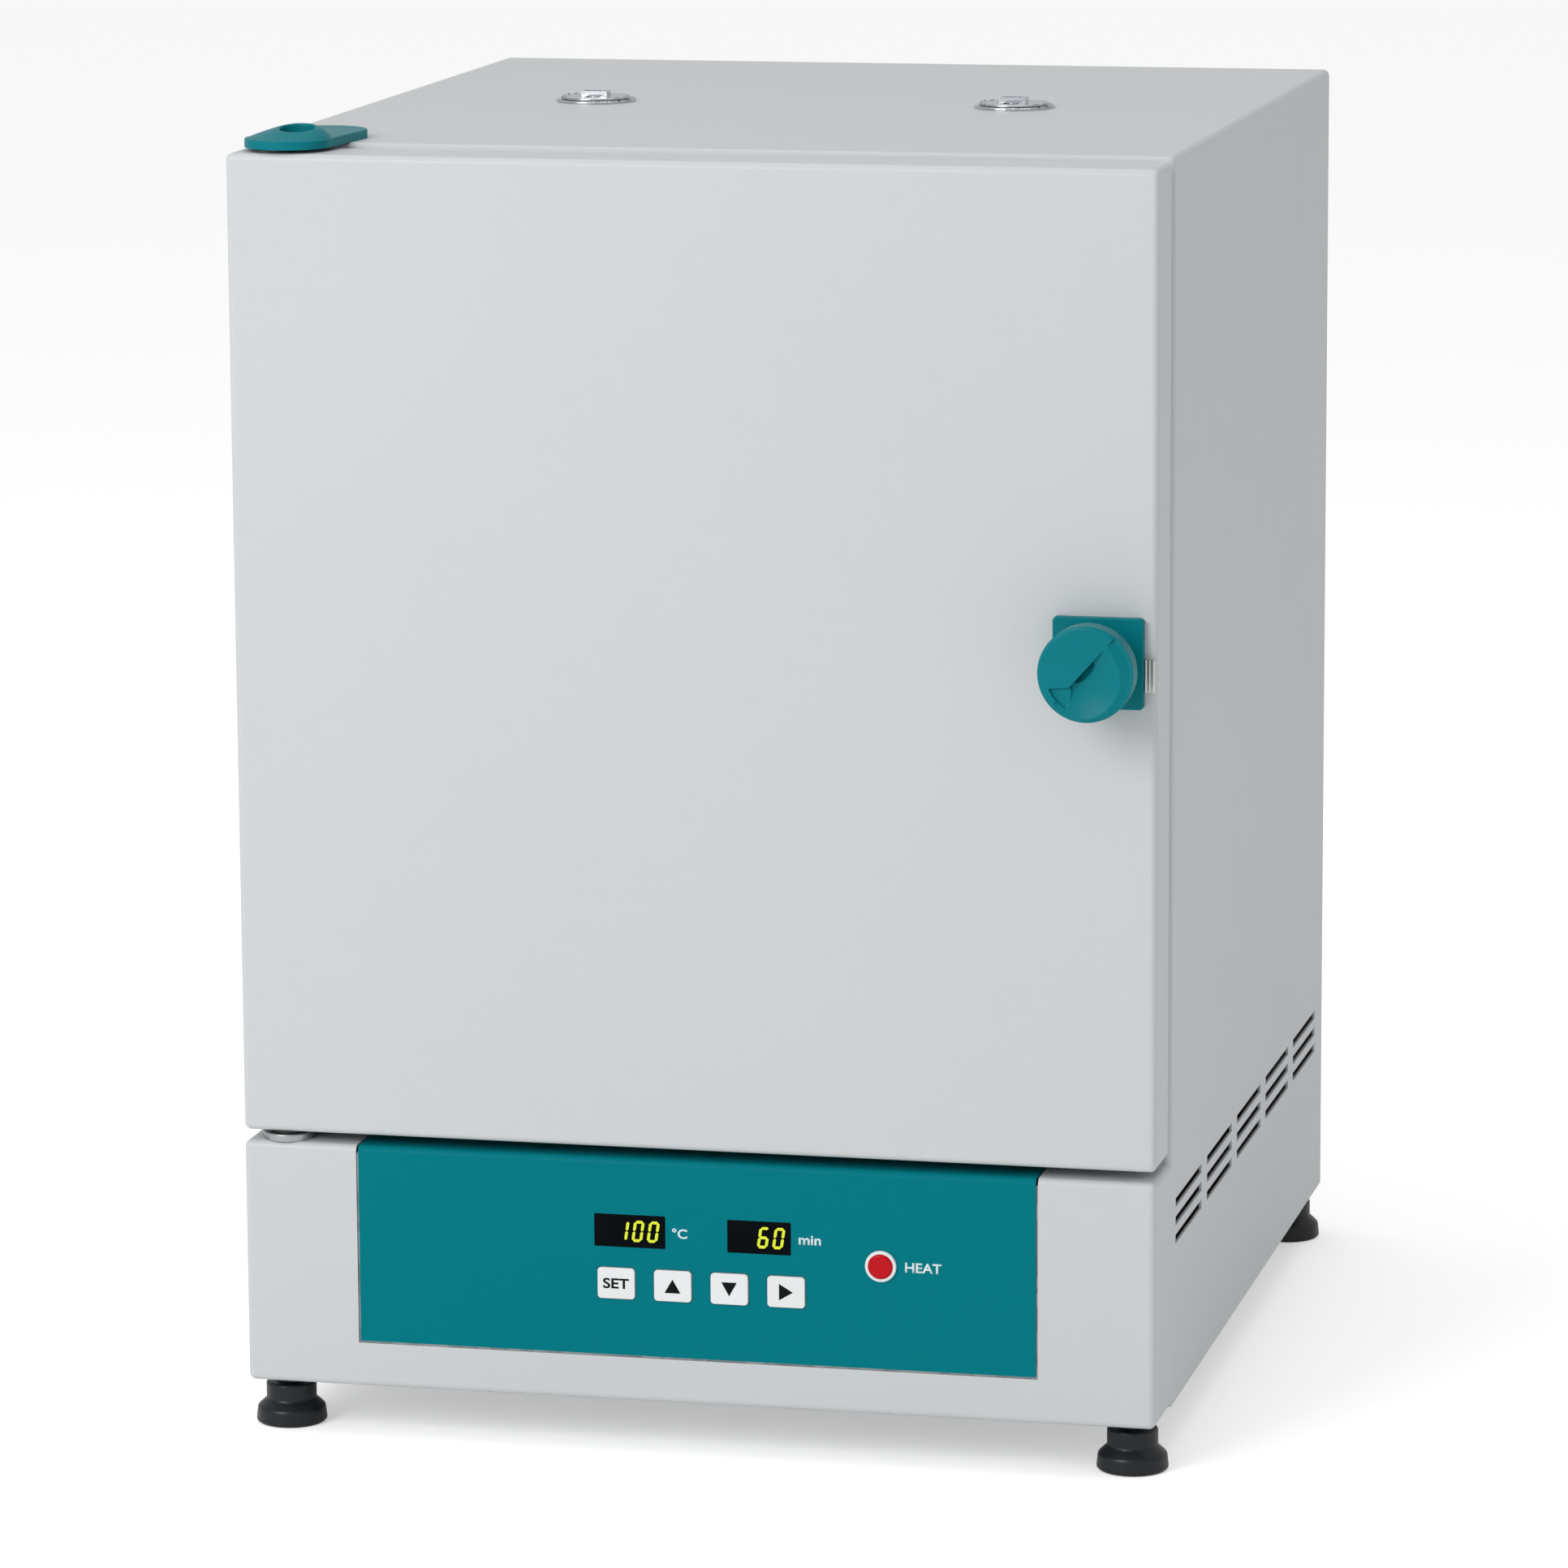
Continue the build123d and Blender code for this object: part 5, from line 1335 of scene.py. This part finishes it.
class OVEN_OT_studio(bpy.types.Operator):
    """Set up the floor, soft lights and camera"""

    bl_idname = "oven.studio"
    bl_label = "Studio"

    def execute(self, context):
        settings = context.scene.oven_studio
        studio_floor(settings.floor_glow)
        studio_world(settings.ambient)
        softbox("key_softbox", KEY_PLACE, KEY_SIZE, settings.key_power)
        softbox("top_softbox", TOP_PLACE, TOP_SIZE, settings.top_power)
        studio_camera(settings)
        context.scene.view_settings.view_transform = "Standard"
        return {"FINISHED"}


PIECE_OPERATORS = (
    OVEN_OT_casing,
    OVEN_OT_hinges,
    OVEN_OT_latch,
    OVEN_OT_control_panel,
    OVEN_OT_digits,
    OVEN_OT_keys,
    OVEN_OT_lamp,
    OVEN_OT_legends,
    OVEN_OT_vents,
    OVEN_OT_feet,
    OVEN_OT_chamber,
    OVEN_OT_shelves,
    OVEN_OT_air_drive,
    OVEN_OT_electrics,
    OVEN_OT_mains,
    OVEN_OT_studio,
)


class OVEN_PT_sidebar(bpy.types.Panel):
    """Lists the oven's settings and its pieces"""

    bl_idname = "OVEN_PT_sidebar"
    bl_label = "Forced Air Oven"
    bl_space_type = "VIEW_3D"
    bl_region_type = "UI"
    bl_category = "Oven"

    def draw(self, context):
        scene = context.scene
        for group in (scene.oven_colours, scene.oven_details, scene.oven_studio):
            box = self.layout.box()
            for name in group.__annotations__:
                box.prop(group, name)
        for operator in PIECE_OPERATORS:
            self.layout.operator(operator.bl_idname)


PROPERTY_GROUPS = {
    "oven_colours": OvenColours,
    "oven_details": OvenDetails,
    "oven_studio": OvenStudio,
}


def register():
    for name, group in PROPERTY_GROUPS.items():
        bpy.utils.register_class(group)
        setattr(bpy.types.Scene, name, bpy.props.PointerProperty(type=group))
    for operator in PIECE_OPERATORS:
        bpy.utils.register_class(operator)
    bpy.utils.register_class(OVEN_PT_sidebar)


def unregister():
    bpy.utils.unregister_class(OVEN_PT_sidebar)
    for operator in reversed(PIECE_OPERATORS):
        bpy.utils.unregister_class(operator)
    for name, group in PROPERTY_GROUPS.items():
        delattr(bpy.types.Scene, name)
        bpy.utils.unregister_class(group)


def main():
    """Builds every piece and the studio."""
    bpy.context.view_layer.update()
    register()
    for operator in PIECE_OPERATORS:
        group, name = operator.bl_idname.split(".")
        getattr(getattr(bpy.ops, group), name)()


if __name__ == "__main__":
    main()
